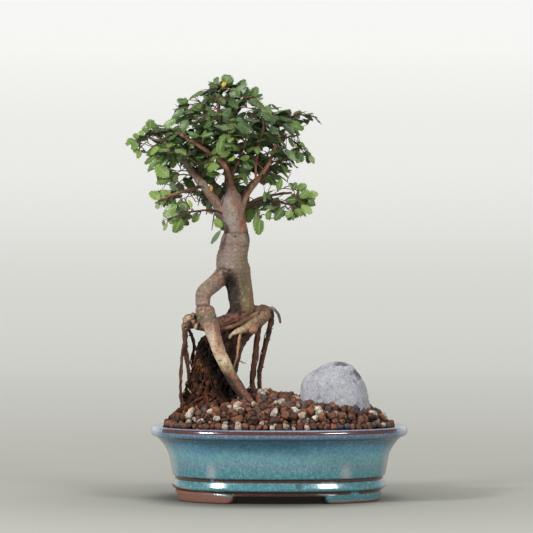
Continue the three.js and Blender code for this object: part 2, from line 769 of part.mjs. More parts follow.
// Places along a stem: the strip's right and left edges and the side that faces up, carried along smoothly.
function stemPlaces(stem, marks) {
  const { line, start, end } = stem;
  const outward = line.getPoint((start + end) / 2).sub(crownMiddle).normalize();
  let up = worldUp.clone().multiplyScalar(upwardShare).addScaledVector(outward, outwardShare);
  return marks.map((mark) => {
    const t = start + (end - start) * mark;
    const middle = line.getPoint(t);
    const along = line.getTangent(t);
    up = up.clone().addScaledVector(along, -up.dot(along));
    if (up.length() < leastUp) {
      up.set(0, -1, 0).addScaledVector(along, along.y);
    }
    up.normalize();
    const left = new THREE.Vector3().crossVectors(up, along).normalize();
    const half = stemRadius * (1 - stemTaper * mark);
    const edges = [-half, half].map((side) => ({ at: middle.clone().addScaledVector(left, side), up }));
    return { along, up, left, edges };
  });
}

// A bare strip along the stem, to test what the stem runs into.
function stripSolid(stem) {
  const places = stemPlaces(stem, [0, 0.25, 0.5, 0.75, 1]);
  const points = places.flatMap((place) => place.edges);
  const faces = [];
  for (let i = 0; i < places.length - 1; i++) {
    faces.push([2 * i, 2 * i + 2, 2 * i + 3], [2 * i, 2 * i + 3, 2 * i + 1]);
  }
  const right = places.map((place, i) => 2 * i);
  const left = places.map((place, i) => 2 * i + 1);
  return plateSolid(points, faces, [...right, ...left.reverse()], leafThickness);
}

// The first share of the line from which the strip is clear of the wood, so that it starts at the bark.
function clearStart(line, end, woodKeep) {
  const length = line.getLength();
  for (let reach = 0; reach < deepestStart; reach += startStep) {
    const start = reach / length;
    if (volumeOf(stripSolid({ line, start, end }).intersect(woodKeep)) === 0) {
      return start;
    }
  }
  return null;
}

// A thin arched stem from its limb to its tip, bent another way where it would meet a placed spray.
function makeStem(plan, woodKeep, others) {
  const [limbName, fraction, tipPoint] = plan;
  const root = limbLine(limbName).getPoint(fraction);
  const tip = new THREE.Vector3(...tipPoint);
  const reach = root.distanceTo(tip);
  for (let attempt = 0; attempt < stemAttempts; attempt++) {
    const sway = stemSway * reach * attempt;
    const middle = root.clone().lerp(tip, 0.5);
    middle.z += reach * stemArch + drawBetween(-sway, sway);
    middle.x += drawBetween(-sway, sway);
    middle.y += drawBetween(-sway, sway);
    const line = new THREE.CatmullRomCurve3([root, middle, tip]);
    const end = 1 - Math.min(mostTipRoom, leafLength * tipRoom / line.getLength());
    const start = clearStart(line, end, woodKeep);
    if (start === null) {
      continue;
    }
    const points = [start, (start + end) / 2, end].map((t) => {
      const point = line.getPoint(t);
      return [point.x, point.y, point.z, stemRadius * (1 - stemTaper * t)];
    });
    const keep = limb(points, stemSides, { uneven: 0, swell: leafClearance });
    if (!touches({ solid: keep, box: boxOf(keep) }, others)) {
      return { line, start, end };
    }
  }
  return null;
}

// Where along the stem its strip changes: the root, both sides of each bud, and the tip.
function budMarks(stem) {
  const stemLength = stem.line.getLength() * (stem.end - stem.start);
  const fewest = stemLength > shortStem ? longStemBuds : shortStemBuds;
  const buds = Math.max(fewest, Math.round((stemLength - 1) / leafSpacing));
  const marks = [0, 1];
  for (let i = 0; i < buds; i++) {
    const middle = 1 - (i + firstBud) / (buds + budRoom);
    marks.push(middle - budWidth / stemLength / 2, middle + budWidth / stemLength / 2);
  }
  return marks.sort((a, b) => a - b);
}

// The edge that a blade grows from: every second stretch of the strip, left and right in turn, and its end.
function budEdge(i, last) {
  const [right, left] = [2 * i, 2 * i + 1];
  if (i === last) {
    return { start: left, end: right, hand: 0 };
  }
  if (i % 4 === 1) {
    return { start: left, end: left + 2, hand: 1 };
  }
  return { start: right + 2, end: right, hand: -1 };
}

// Points, faces and outline of the strip with the blades that have grown from it so far.
function sprayOutline(places, blades) {
  const last = places.length - 1;
  const points = places.flatMap((place) => place.edges);
  const faces = [];
  const walks = { right: [], left: [] };
  for (let i = 0; i <= last; i++) {
    const [right, left] = [2 * i, 2 * i + 1];
    walks.right.push(right);
    walks.left.push(left);
    if (i < last) {
      faces.push([right, right + 2, left + 2], [right, left + 2, left]);
    }
    const own = blades.get(i);
    if (own !== undefined) {
      const first = points.length;
      const { start, end, hand } = budEdge(i, last);
      points.push(...own);
      faces.push(...bladeFaces(start, end, first));
      const walk = own.map((point, k) => first + k);
      walks[hand > 0 ? 'left' : 'right'].push(...(hand > 0 ? walk.reverse() : walk));
    }
  }
  return [points, faces, [...walks.right, ...walks.left.reverse()]];
}

// A blade for one bud, turned until it is clear of the wood, the other sprays and its own twig, or null.
function growBlade(places, i, blades, woodKeep, others) {
  const last = places.length - 1;
  const place = places[i];
  const edges = places.flatMap((one) => one.edges);
  const bud = budEdge(i, last);
  const start = edges[bud.start];
  const end = edges[bud.end];
  const base = start.at.clone().lerp(end.at, 0.5);
  for (let attempt = 0; attempt < leafAttempts; attempt++) {
    const loose = 1 + attempt * looserEachTime;
    const atTip = bud.hand === 0;
    const swing = atTip ? drawBetween(-tipSwing, tipSwing) * loose : bud.hand * drawBetween(...sideSwing);
    const forward = place.along.clone().multiplyScalar(Math.cos(swing));
    forward.addScaledVector(place.left, Math.sin(swing));
    forward.addScaledVector(place.up, drawBetween(-leafPitch, leafPitch) * loose).normalize();
    const up = place.up.clone().addScaledVector(place.left, drawBetween(-leafRoll, leafRoll) * loose);
    up.addScaledVector(place.along, drawBetween(-leafRoll, leafRoll) * loose).normalize();
    const size = drawBetween(...leafSizes) * (attempt < leafAttempts / 2 ? 1 : smallLeaf);
    const keep = bladeAlone(start, end, bladePoints(base, forward, up, size * keepSize), keepThickness);
    if (touches({ solid: keep, box: boxOf(keep) }, others) || volumeOf(woodKeep.intersect(keep)) > 0) {
      continue;
    }
    const own = bladePoints(base, forward, up, size);
    const trial = new Map(blades).set(i, own);
    if (!crossesItself(plateMesh(...sprayOutline(places, trial), leafThickness * keepSelf))) {
      return own;
    }
  }
  return null;
}

// One leafy twig: its stem, leaves in two rows along it and one at the end.
function makeSpray(plan, woodKeep, others) {
  const stem = makeStem(plan, woodKeep, others);
  if (stem === null) {
    return null;
  }
  const places = stemPlaces(stem, budMarks(stem));
  const blades = new Map();
  for (let i = 1; i < places.length; i += 2) {
    const own = growBlade(places, i, blades, woodKeep, others);
    if (own !== null) {
      blades.set(i, own);
    }
  }
  return plateSolid(...sprayOutline(places, blades), leafThickness);
}

// Assembly

const wood = makeWood(0);
const woodKeep = makeWood(cutGap);
const stone = makeStone(0);
const clump = mainBody(solidOf(ringGeometry(clumpRings(0))).subtract(woodKeep));
const clumpKeep = solidOf(ringGeometry(clumpRings(clumpGap)));
const soil = makeSoil([woodKeep, makeStone(cutGap), clumpKeep]);

const model = new THREE.Group();
model.add(meshOf('pot', makePot(), 'glaze'));
model.add(meshOf('drain_screen_left', makeScreen(-drainHoleX), 'screen'));
model.add(meshOf('drain_screen_right', makeScreen(drainHoleX), 'screen'));
model.add(meshOf('soil', soil, 'soil'));
model.add(meshOf('root_clump', clump, 'clump'));
model.add(meshOf('stone', stone, 'stone'));
model.add(meshOf('wood', wood, 'bark'));

const placed = [];
sprayPlan.forEach((plan, i) => {
  const body = makeSpray(plan, woodKeep, placed);
  if (body === null) {
    return;
  }
  const mesh = meshOf(`spray_${String(i + 1).padStart(2, '0')}`, body, 'leaf');
  placed.push({ solid: body, box: new THREE.Box3().setFromObject(mesh) });
  model.add(mesh);
});

// The origin is below the middle of the whole, where the feet stand.
const reach = new THREE.Box3().setFromObject(model);
model.position.x = -(reach.min.x + reach.max.x) / 2;
model.position.y = -(reach.min.y + reach.max.y) / 2;
model.position.z = -reach.min.z;

export default model;
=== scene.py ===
# A Chinese elm bonsai in an oval pot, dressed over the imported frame.
# Lengths are millimetres about the middle of the pot, +Z up and -Y to the front, until buildMesh
# puts them into the frame's metres.
import math

import bpy
import numpy as np
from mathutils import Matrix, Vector


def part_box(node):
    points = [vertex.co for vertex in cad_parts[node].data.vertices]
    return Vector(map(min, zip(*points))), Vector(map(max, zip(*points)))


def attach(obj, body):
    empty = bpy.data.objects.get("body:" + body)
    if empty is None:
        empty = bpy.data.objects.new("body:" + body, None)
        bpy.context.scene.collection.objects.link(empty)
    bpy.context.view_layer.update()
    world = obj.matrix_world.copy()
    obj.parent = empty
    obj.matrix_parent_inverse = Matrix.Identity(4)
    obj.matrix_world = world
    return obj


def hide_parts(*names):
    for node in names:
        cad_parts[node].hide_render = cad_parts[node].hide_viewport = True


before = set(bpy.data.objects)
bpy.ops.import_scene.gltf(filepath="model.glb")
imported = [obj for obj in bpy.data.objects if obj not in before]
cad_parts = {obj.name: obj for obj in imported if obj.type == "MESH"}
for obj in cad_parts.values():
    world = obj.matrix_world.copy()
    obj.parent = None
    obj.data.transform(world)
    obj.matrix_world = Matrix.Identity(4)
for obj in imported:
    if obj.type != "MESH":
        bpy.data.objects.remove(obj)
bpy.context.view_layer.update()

potLow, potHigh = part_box("pot")
potMiddle = np.array([(potLow.x + potHigh.x) / 2, (potLow.y + potHigh.y) / 2, potLow.z])
draws = np.random.default_rng(4817)
sprayNodes = sorted(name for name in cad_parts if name.startswith("spray"))
print("frame loaded:", len(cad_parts), "nodes")


# small tools for numbers

def fade(low, high, value):
    t = np.clip((value - low) / (high - low), 0, 1)
    return t * t * (3 - 2 * t)


def unit(vectors):
    vectors = np.asarray(vectors, float)
    return vectors / np.maximum(np.linalg.norm(vectors, axis=-1, keepdims=True), 1e-9)


def cellNoise(points, size, seed):  # smooth noise from -1 to 1, about one wave every two sizes
    place = np.asarray(points, float) / size
    base = np.floor(place).astype(np.int64)
    part = place - base
    soft = part * part * (3 - 2 * part)
    total = np.zeros(len(place))
    for corner in range(8):
        offset = np.array([corner & 1, (corner >> 1) & 1, (corner >> 2) & 1])
        cell = base + offset
        mixed = (cell[:, 0] * 374761393 + cell[:, 1] * 668265263 + cell[:, 2] * 1442695041 + seed * 1274126177) & 0x7FFFFFFF
        mixed = ((mixed ^ (mixed >> 13)) * 1103515245) & 0x7FFFFFFF
        value = ((mixed ^ (mixed >> 16)) & 0xFFFF) / 32767.5 - 1
        weight = np.prod(np.where(offset == 1, soft, 1 - soft), axis=1)
        total += weight * value
    return total


def layeredNoise(points, size, seed, layers=3):
    total = np.zeros(len(points))
    for layer in range(layers):
        total += cellNoise(points, size / 2 ** layer, seed + layer) / 2 ** layer
    return total


def tint(code):  # a six figure colour as linear red, green, blue
    parts = [int(code[i:i + 2], 16) / 255 for i in (0, 2, 4)]
    return [p / 12.92 if p <= 0.04045 else ((p + 0.055) / 1.055) ** 2.4 for p in parts]


def solidTint(code):
    return (*tint(code), 1.0)


# small tools for meshes

class Bundle:  # gathers points, faces and point values until they become one mesh
    def __init__(self):
        self.points = []
        self.faces = []
        self.values = {}
        self.count = 0

    def add(self, points, faces, **values):
        size = len(points)
        self.points.append(np.asarray(points, float))
        for group in faces:
            if len(group):
                self.faces.append(np.asarray(group, np.int64) + self.count)
        for name, value in values.items():
            value = np.asarray(value, float)
            if value.ndim == 0 or (value.ndim == 1 and value.shape[0] == 3 and size != 3):
                value = np.broadcast_to(value, (size, *value.shape)).copy()
            self.values.setdefault(name, []).append(value)
        self.count += size

    def arrays(self):
        values = {name: np.concatenate(parts) for name, parts in self.values.items()}
        return np.concatenate(self.points), self.faces, values


def buildMesh(name, points, faceGroups, values=None):
    mesh = bpy.data.meshes.new(name)
    places = (np.asarray(points) * 0.001 + potMiddle).astype(np.float32)
    loops = np.concatenate([group.ravel() for group in faceGroups]).astype(np.int32)
    sizes = np.concatenate([np.full(len(group), group.shape[1]) for group in faceGroups])
    starts = np.concatenate([[0], np.cumsum(sizes)[:-1]]).astype(np.int32)
    mesh.vertices.add(len(places))
    mesh.vertices.foreach_set("co", places.ravel())
    mesh.loops.add(len(loops))
    mesh.loops.foreach_set("vertex_index", loops)
    mesh.polygons.add(len(starts))
    mesh.polygons.foreach_set("loop_start", starts)
    mesh.polygons.foreach_set("use_smooth", np.ones(len(starts), bool))
    mesh.update(calc_edges=True)
    mesh.validate()
    for valueName, value in (values or {}).items():
        if value.ndim == 2:
            layer = mesh.attributes.new(valueName, "FLOAT_COLOR", "POINT")
            layer.data.foreach_set("color", np.hstack([value, np.ones((len(value), 1))]).astype(np.float32).ravel())
        else:
            layer = mesh.attributes.new(valueName, "FLOAT", "POINT")
            layer.data.foreach_set("value", value.astype(np.float32))
    return mesh


def showPiece(name, mesh, material, replaced=()):
    piece = bpy.data.objects.new(name, mesh)
    bpy.context.scene.collection.objects.link(piece)
    mesh.materials.clear()
    mesh.materials.append(material)
    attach(piece, "root")
    if replaced:
        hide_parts(*replaced)
    return piece


def facesOf(mesh):  # the faces of a mesh as arrays of equal corner counts
    sizes = np.empty(len(mesh.polygons), np.int32)
    mesh.polygons.foreach_get("loop_total", sizes)
    corners = np.empty(len(mesh.loops), np.int32)
    mesh.loops.foreach_get("vertex_index", corners)
    starts = np.concatenate([[0], np.cumsum(sizes)[:-1]])
    groups = []
    for size in np.unique(sizes):
        chosen = starts[sizes == size]
        groups.append(corners[chosen[:, None] + np.arange(size)])
    return groups


def pointsOf(mesh):
    flat = np.empty(len(mesh.vertices) * 3, np.float32)
    mesh.vertices.foreach_get("co", flat)
    return (flat.reshape(-1, 3).astype(float) - potMiddle) * 1000


def normalsOf(mesh):
    flat = np.empty(len(mesh.vertices) * 3, np.float32)
    mesh.vertices.foreach_get("normal", flat)
    return flat.reshape(-1, 3).astype(float)


def edgesOf(mesh):
    flat = np.empty(len(mesh.edges) * 2, np.int32)
    mesh.edges.foreach_get("vertices", flat)
    return flat.reshape(-1, 2)


def relaxed(values, edges, times, share=0.5):  # each point drifts towards the mean of its neighbours
    values = np.array(values, float)
    flat = values.ndim == 1
    if flat:
        values = values[:, None]
    count = len(values)
    a, b = edges[:, 0], edges[:, 1]
    degree = np.maximum(np.bincount(a, minlength=count) + np.bincount(b, minlength=count), 1)
    for _ in range(times):
        mean = np.empty_like(values)
        for column in range(values.shape[1]):
            total = np.bincount(a, values[b, column], count) + np.bincount(b, values[a, column], count)
            mean[:, column] = total / degree
        values += (mean - values) * share
    return values[:, 0] if flat else values


def finishedMesh(piece):  # the mesh with its modifiers applied
    bpy.context.view_layer.update()
    seen = piece.evaluated_get(bpy.context.evaluated_depsgraph_get())
    return bpy.data.meshes.new_from_object(seen)


def dropPiece(piece):
    mesh = piece.data
    bpy.data.objects.remove(piece)
    bpy.data.meshes.remove(mesh)


def smoothLine(rows, perSpan):  # a centripetal curve through rows whose first three columns are a place
    rows = np.array(rows, float)
    padded = np.vstack([2 * rows[0] - rows[1], rows, 2 * rows[-1] - rows[-2]])
    parts = []
    for i in range(len(rows) - 1):
        p = padded[i:i + 4]
        gap = [max(np.linalg.norm((p[k + 1] - p[k])[:3]) ** 0.5, 1e-3) for k in range(3)]
        t = (np.arange(perSpan) / perSpan)[:, None]
        leave = ((p[1] - p[0]) / gap[0] - (p[2] - p[0]) / (gap[0] + gap[1]) + (p[2] - p[1]) / gap[1]) * gap[1]
        arrive = ((p[2] - p[1]) / gap[1] - (p[3] - p[1]) / (gap[1] + gap[2]) + (p[3] - p[2]) / gap[2]) * gap[1]
        parts.append(p[1] * (2 * t ** 3 - 3 * t ** 2 + 1) + leave * (t ** 3 - 2 * t ** 2 + t)
                     + p[2] * (3 * t ** 2 - 2 * t ** 3) + arrive * (t ** 3 - t ** 2))
    parts.append(rows[-1:])
    return np.vstack(parts)


def lineFrames(centres):
    ahead = unit(np.gradient(centres, axis=0))
    side = np.array([0.0, 1.0, 0.0]) if abs(ahead[0][1]) < 0.9 else np.array([1.0, 0.0, 0.0])
    sides = []
    for direction in ahead:
        side = unit(side - direction * side.dot(direction))
        sides.append(side)
    across = np.array(sides)
    return ahead, across, np.cross(ahead, across)


def tube(line, sides, wave=None, leastRadius=0.1):  # a closed limb along rows of x, y, z, radius
    centres = line[:, :3]
    radii = np.maximum(line[:, 3], leastRadius)
    ahead, across, other = lineFrames(centres)
    angles = np.arange(sides) / sides * 2 * math.pi
    along = np.concatenate([[0], np.cumsum(np.linalg.norm(np.diff(centres, axis=0), axis=1))])
    reach = np.repeat(radii[:, None], sides, axis=1)
    if wave is not None:
        reach = reach * wave(along[:, None], angles[None, :], radii[:, None])
    round3 = np.cos(angles)[None, :, None] * across[:, None, :] + np.sin(angles)[None, :, None] * other[:, None, :]
    body = (centres[:, None, :] + reach[:, :, None] * round3).reshape(-1, 3)
    rings = len(centres)
    grid = np.arange(rings * sides).reshape(rings, sides)
    turned = np.roll(grid, -1, axis=1)
    quads = np.stack([grid[:-1], turned[:-1], turned[1:], grid[1:]], axis=-1).reshape(-1, 4)
    first, last = rings * sides, rings * sides + 1
    tips = np.vstack([centres[0] - ahead[0] * radii[0] * 0.5, centres[-1] + ahead[-1] * radii[-1] * 0.8])
    fans = np.vstack([
        np.stack([np.full(sides, first), turned[0], grid[0]], axis=-1),
        np.stack([np.full(sides, last), grid[-1], turned[-1]], axis=-1),
    ])
    alongAll = np.concatenate([np.repeat(along, sides), [0, along[-1]]])
    return np.vstack([body, tips]), [quads, fans], alongAll


# small tools for materials

def newMaterial(name):
    material = bpy.data.materials.new(name)
    material.use_nodes = True
    tree = material.node_tree
    tree.nodes.clear()
    shader = tree.nodes.new("ShaderNodeBsdfPrincipled")
    output = tree.nodes.new("ShaderNodeOutputMaterial")
    tree.links.new(shader.outputs["BSDF"], output.inputs["Surface"])
    return material, tree, shader


def feed(tree, socket, value):
    if isinstance(value, bpy.types.NodeSocket):
        tree.links.new(value, socket)
    else:
        socket.default_value = value


def node(tree, kind, inputs=None, **settings):
    made = tree.nodes.new(kind)
    for name, value in settings.items():
        setattr(made, name, value)
    for key, value in (inputs or {}).items():
        feed(tree, made.inputs[key], value)
    return made


def sums(tree, operation, a, b=0.0, c=0.0, clamp=False):
    made = node(tree, "ShaderNodeMath", {0: a, 1: b, 2: c}, operation=operation)
    made.use_clamp = clamp
    return made.outputs[0]


def blendTints(tree, share, a, b, how="MIX"):
    made = tree.nodes.new("ShaderNodeMix")
    made.data_type = "RGBA"
    made.blend_type = how
    feed(tree, made.inputs["Factor"], share)
    feed(tree, made.inputs[6], a)
    feed(tree, made.inputs[7], b)
    return made.outputs[2]


def ramp(tree, value, stops, smooth=False):  # stops are (place, colour code)
    made = tree.nodes.new("ShaderNodeValToRGB")
    made.color_ramp.interpolation = "EASE" if smooth else "LINEAR"
    elements = made.color_ramp.elements
    while len(elements) < len(stops):
        elements.new(0.5)
    for element, (place, code) in zip(elements, stops):
        element.position = place
        element.color = solidTint(code)
    feed(tree, made.inputs[0], value)
    return made.outputs[0]


def scaled(tree, value, low, high, outLow=0.0, outHigh=1.0):
    made = node(tree, "ShaderNodeMapRange", {0: value, 1: low, 2: high, 3: outLow, 4: outHigh})
    made.clamp = True
    return made.outputs[0]


def stored(tree, name, colour=False):
    made = node(tree, "ShaderNodeAttribute", attribute_name=name)
    return made.outputs["Color" if colour else "Fac"]


def placed(tree, name):  # a shared effect as a node in this material
    made = tree.nodes.new("ShaderNodeGroup")
    made.node_tree = bpy.data.node_groups[name]
    return made


def startGroup(name, ins, outs):
    group = bpy.data.node_groups.new(name, "ShaderNodeTree")
    for socketName, kind, value in ins:
        socket = group.interface.new_socket(socketName, in_out="INPUT", socket_type=kind)
        if value is not None:
            socket.default_value = value
    for socketName, kind in outs:
        group.interface.new_socket(socketName, in_out="OUTPUT", socket_type=kind)
    start = group.nodes.new("NodeGroupInput")
    end = group.nodes.new("NodeGroupOutput")
    return group, start.outputs, end.inputs


# Fine uneven grain, stretched along one direction: for bark, roots, earth, grains and stone.
def makeGrainGroup():
    group, given, result = startGroup(
        "unevenGrain",
        [("Size mm", "NodeSocketFloat", 2.0), ("Stretch", "NodeSocketVector", (1.0, 1.0, 1.0)),
         ("Roughness", "NodeSocketFloat", 0.6), ("Low", "NodeSocketFloat", 0.35), ("High", "NodeSocketFloat", 0.65)],
        [("Mask", "NodeSocketFloat"), ("Height", "NodeSocketFloat")])
    place = node(group, "ShaderNodeTexCoord").outputs["Object"]
    stretched = node(group, "ShaderNodeVectorMath", {0: place, 1: given["Stretch"]}, operation="MULTIPLY").outputs[0]
    scale = sums(group, "DIVIDE", 1000.0, given["Size mm"])
    noise = node(group, "ShaderNodeTexNoise",
                 {"Vector": stretched, "Scale": scale, "Detail": 5.0, "Roughness": given["Roughness"]})
    made = node(group, "ShaderNodeMapRange",
                {0: noise.outputs["Fac"], 1: given["Low"], 2: given["High"], 3: 0.0, 4: 1.0})
    made.clamp = True
    group.links.new(made.outputs[0], result["Mask"])
    group.links.new(noise.outputs["Fac"], result["Height"])


# Scattered small spots of one size: lenticels, glaze specks, mineral specks.
def makeSpeckGroup():
    group, given, result = startGroup(
        "scatteredSpecks",
        [("Spacing mm", "NodeSocketFloat", 3.0), ("Stretch", "NodeSocketVector", (1.0, 1.0, 1.0)),
         ("Spot", "NodeSocketFloat", 0.2), ("Share", "NodeSocketFloat", 0.5)],
        [("Mask", "NodeSocketFloat")])
    place = node(group, "ShaderNodeTexCoord").outputs["Object"]
    stretched = node(group, "ShaderNodeVectorMath", {0: place, 1: given["Stretch"]}, operation="MULTIPLY").outputs[0]
    scale = sums(group, "DIVIDE", 1000.0, given["Spacing mm"])
    cells = node(group, "ShaderNodeTexVoronoi", {"Vector": stretched, "Scale": scale, "Randomness": 1.0})
    chance = node(group, "ShaderNodeTexWhiteNoise", {"Vector": cells.outputs["Position"]}, noise_dimensions="3D")
    chosen = sums(group, "LESS_THAN", chance.outputs["Value"], given["Share"])
    wobble = sums(group, "MULTIPLY", given["Spot"], sums(group, "ADD", 0.5, chance.outputs["Value"]))
    near = node(group, "ShaderNodeMapRange", {0: cells.outputs["Distance"], 1: wobble, 2: 0.0, 3: 0.0, 4: 1.0})
    near.clamp = True
    group.links.new(sums(group, "MULTIPLY", near.outputs[0], chosen), result["Mask"])


# Painted shade: a colour darkened where the surface lies in a hollow, from the stored hollow value.
def makeHollowGroup():
    group, given, result = startGroup(
        "hollowShade",
        [("Colour", "NodeSocketColor", None), ("Hollow colour", "NodeSocketColor", None),
         ("Strength", "NodeSocketFloat", 0.7)],
        [("Colour", "NodeSocketColor")])
    hollow = stored(group, "hollow")
    share = sums(group, "MULTIPLY", hollow, given["Strength"], clamp=True)
    group.links.new(blendTints(group, share, given["Colour"], given["Hollow colour"]), result["Colour"])


makeGrainGroup()
makeSpeckGroup()
makeHollowGroup()


def grainOf(tree, size, stretch=(1, 1, 1), roughness=0.6, low=0.35, high=0.65):
    made = placed(tree, "unevenGrain")
    made.inputs["Size mm"].default_value = size
    made.inputs["Stretch"].default_value = stretch
    made.inputs["Roughness"].default_value = roughness
    made.inputs["Low"].default_value = low
    made.inputs["High"].default_value = high
    return made.outputs["Mask"], made.outputs["Height"]


def specksOf(tree, spacing, spot, share, stretch=(1, 1, 1)):
    made = placed(tree, "scatteredSpecks")
    made.inputs["Spacing mm"].default_value = spacing
    made.inputs["Spot"].default_value = spot
    made.inputs["Share"].default_value = share
    made.inputs["Stretch"].default_value = stretch
    return made.outputs["Mask"]


def hollowed(tree, colour, hollowColour, strength):
    made = placed(tree, "hollowShade")
    feed(tree, made.inputs["Colour"], colour)
    made.inputs["Hollow colour"].default_value = solidTint(hollowColour)
    made.inputs["Strength"].default_value = strength
    return made.outputs["Colour"]


def bumpOf(tree, height, depthMm, strength=1.0, under=None):
    made = node(tree, "ShaderNodeBump", {"Height": height, "Distance": depthMm * 0.001, "Strength": strength})
    if under is not None:
        tree.links.new(under, made.inputs["Normal"])
    return made.outputs["Normal"]


# Pot

potShape = {
    "halfLength": 100.0,
    "halfDepth": 79.0,
    "power": 2.35,
    "around": 216,
    # inset from the rim and height, from the edge of the underside up the wall and over the lip
    "outer": [(30, 6.0, 0), (19.6, 6.0, 0.6), (19.1, 6.9, 0.4), (20.1, 7.3, 0.3), (20.0, 9.1, 0.3), (17.8, 9.6, 0.7),
              (16.9, 11.0, 1.4), (17.9, 13.8, 2.6), (18.7, 16.1, 0.6), (19.5, 16.5, 0.3), (19.1, 18.7, 0.3), (17.4, 19.2, 0.6),
              (16.0, 27.0, 3), (14.0, 37.5, 4), (8.4, 45.6, 4), (4.6, 49.2, 0.6), (3.4, 49.4, 0.6),
              (0.8, 50.4, 1.2), (0.0, 53.4, 1.0), (0.5, 55.8, 1.2), (2.6, 57.5, 1.2), (10.4, 56.2, 1.2)],
    # height ranges of the brown bands: the lower and upper groove, the line below the lip, the lip's upper face
    "lowGroove": (7.0, 9.5),
    "highGroove": (16.3, 19.0),
    "lipLine": (48.9, 50.1),
    "lipBand": (53.6, 56.6),
    # where the front left foot's glaze ends, as x and height
    "bareLine": ((-84, -79, -59, -48, -34), (12.6, 12.0, 9.0, 6.3, 5.4)),
    # small marks in the front's glaze: x, height, radius, colour
    "marks": [(-59, 32.8, 0.7, "22313a"), (-43, 30.6, 0.6, "22313a"), (15, 14.6, 1.0, "3c5660"), (-53, 33.6, 1.5, "8a8560")],
    "inner": [(12.6, 52.0, 1), (17.6, 43.0, 2), (20.2, 32.0, 2), (23.2, 12.0, 2.5)],
    "footOut": 19.0,
    "footIn": 32.0,
    "endFallSide": 3.0,
    "endFallFront": 6.0,
    "gapHalfX": 35.0,
    "gapHalfY": 17.0,
    "holeX": 38.0,
    "holeRadius": 8.0,
}


def ovalPoint(angle, halfLength, halfDepth, power):
    cos, sin = np.cos(angle), np.sin(angle)
    x = np.sign(cos) * np.abs(cos) ** (2 / power) * halfLength
    y = np.sign(sin) * np.abs(sin) ** (2 / power) * halfDepth
    return x, y


def evenOvalAngles(count, halfLength, halfDepth, power):  # angles whose points lie evenly round the oval
    fine = np.linspace(0, 2 * math.pi, 4001)
    x, y = ovalPoint(fine, halfLength, halfDepth, power)
    run = np.concatenate([[0], np.cumsum(np.hypot(np.diff(x), np.diff(y)))])
    return np.interp(np.arange(count) / count * run[-1], run, fine)


def roundedProfile(corners, steps=5):  # (inset, height, rounding) corners with soft bends
    points = [np.array(c[:2], float) for c in corners]
    rounds = [c[2] for c in corners]
    result = [points[0]]
    for i in range(1, len(points) - 1):
        back, here, on = points[i - 1], points[i], points[i + 1]
        toBack, toOn = back - here, on - here
        reachBack = min(rounds[i] * 1.4, np.linalg.norm(toBack) * 0.48)
        reachOn = min(rounds[i] * 1.4, np.linalg.norm(toOn) * 0.48)
        start = here + unit(toBack) * reachBack
        end = here + unit(toOn) * reachOn
        for t in np.linspace(0, 1, steps):
            result.append((1 - t) ** 2 * start + 2 * t * (1 - t) * here + t * t * end)
    result.append(points[-1])
    dense = [result[0]]
    for point in result[1:]:
        gap = np.linalg.norm(point - dense[-1])
        extra = int(gap // 3.2)
        last = dense[-1]
        for k in range(extra):
            dense.append(last + (point - last) * (k + 1) / (extra + 1))
        dense.append(point)
    return np.array(dense)


def ovalRings(profile, angles):
    rings = []
    for inset, height in profile:
        x, y = ovalPoint(angles, potShape["halfLength"] - inset, potShape["halfDepth"] - inset, potShape["power"])
        rings.append(np.stack([x, y, np.full(len(angles), height)], axis=-1))
    return np.array(rings)


def gridFaces(rows, columns, wrap=True, flip=False):
    grid = np.arange(rows * columns).reshape(rows, columns)
    if wrap:
        turned = np.roll(grid, -1, axis=1)
        parts = [grid[:-1], turned[:-1], turned[1:], grid[1:]]
    else:
        parts = [grid[:-1, :-1], grid[:-1, 1:], grid[1:, 1:], grid[1:, :-1]]
    if flip:
        parts = parts[::-1]
    return np.stack(parts, axis=-1).reshape(-1, 4)


def makePotBody():
    corners = potShape["outer"] + potShape["inner"] + [(34.0, 12.0, 0)]
    profile = roundedProfile(corners)
    angles = evenOvalAngles(potShape["around"], potShape["halfLength"], potShape["halfDepth"], potShape["power"])
    walls = ovalRings(profile, angles)
    lower = [walls[0] * [share, share, 1] for share in (0.3, 0.65)]
    upper = [walls[-1] * [share, share, 1] for share in (0.65, 0.3)]
    stack = np.array(lower + list(walls) + upper)
    # the hand-finished wall is a little uneven
    flat = stack.reshape(-1, 3)
    rough = 0.16 * cellNoise(flat, 26.0, 3) + 0.05 * cellNoise(flat, 7.0, 4)
    outward = unit(np.stack([flat[:, 0] / potShape["halfLength"], flat[:, 1] / potShape["halfDepth"], np.zeros(len(flat))], axis=-1))
    flat = flat + outward * rough[:, None] * fade(5, 9, flat[:, 2])[:, None]
    rows, columns = stack.shape[:2]
    bundle = Bundle()
    first, last = rows * columns, rows * columns + 1
    points = np.vstack([flat, [[0, 0, 6.0], [0, 0, 12.0]]])
    here = np.arange(columns)
    after = np.roll(here, -1)
    fans = np.vstack([
        np.stack([np.full(columns, first), after, here], axis=-1),
        np.stack([np.full(columns, last), here + (rows - 1) * columns, after + (rows - 1) * columns], axis=-1),
    ])
    bundle.add(points, [gridFaces(rows, columns), fans])
    return bundle


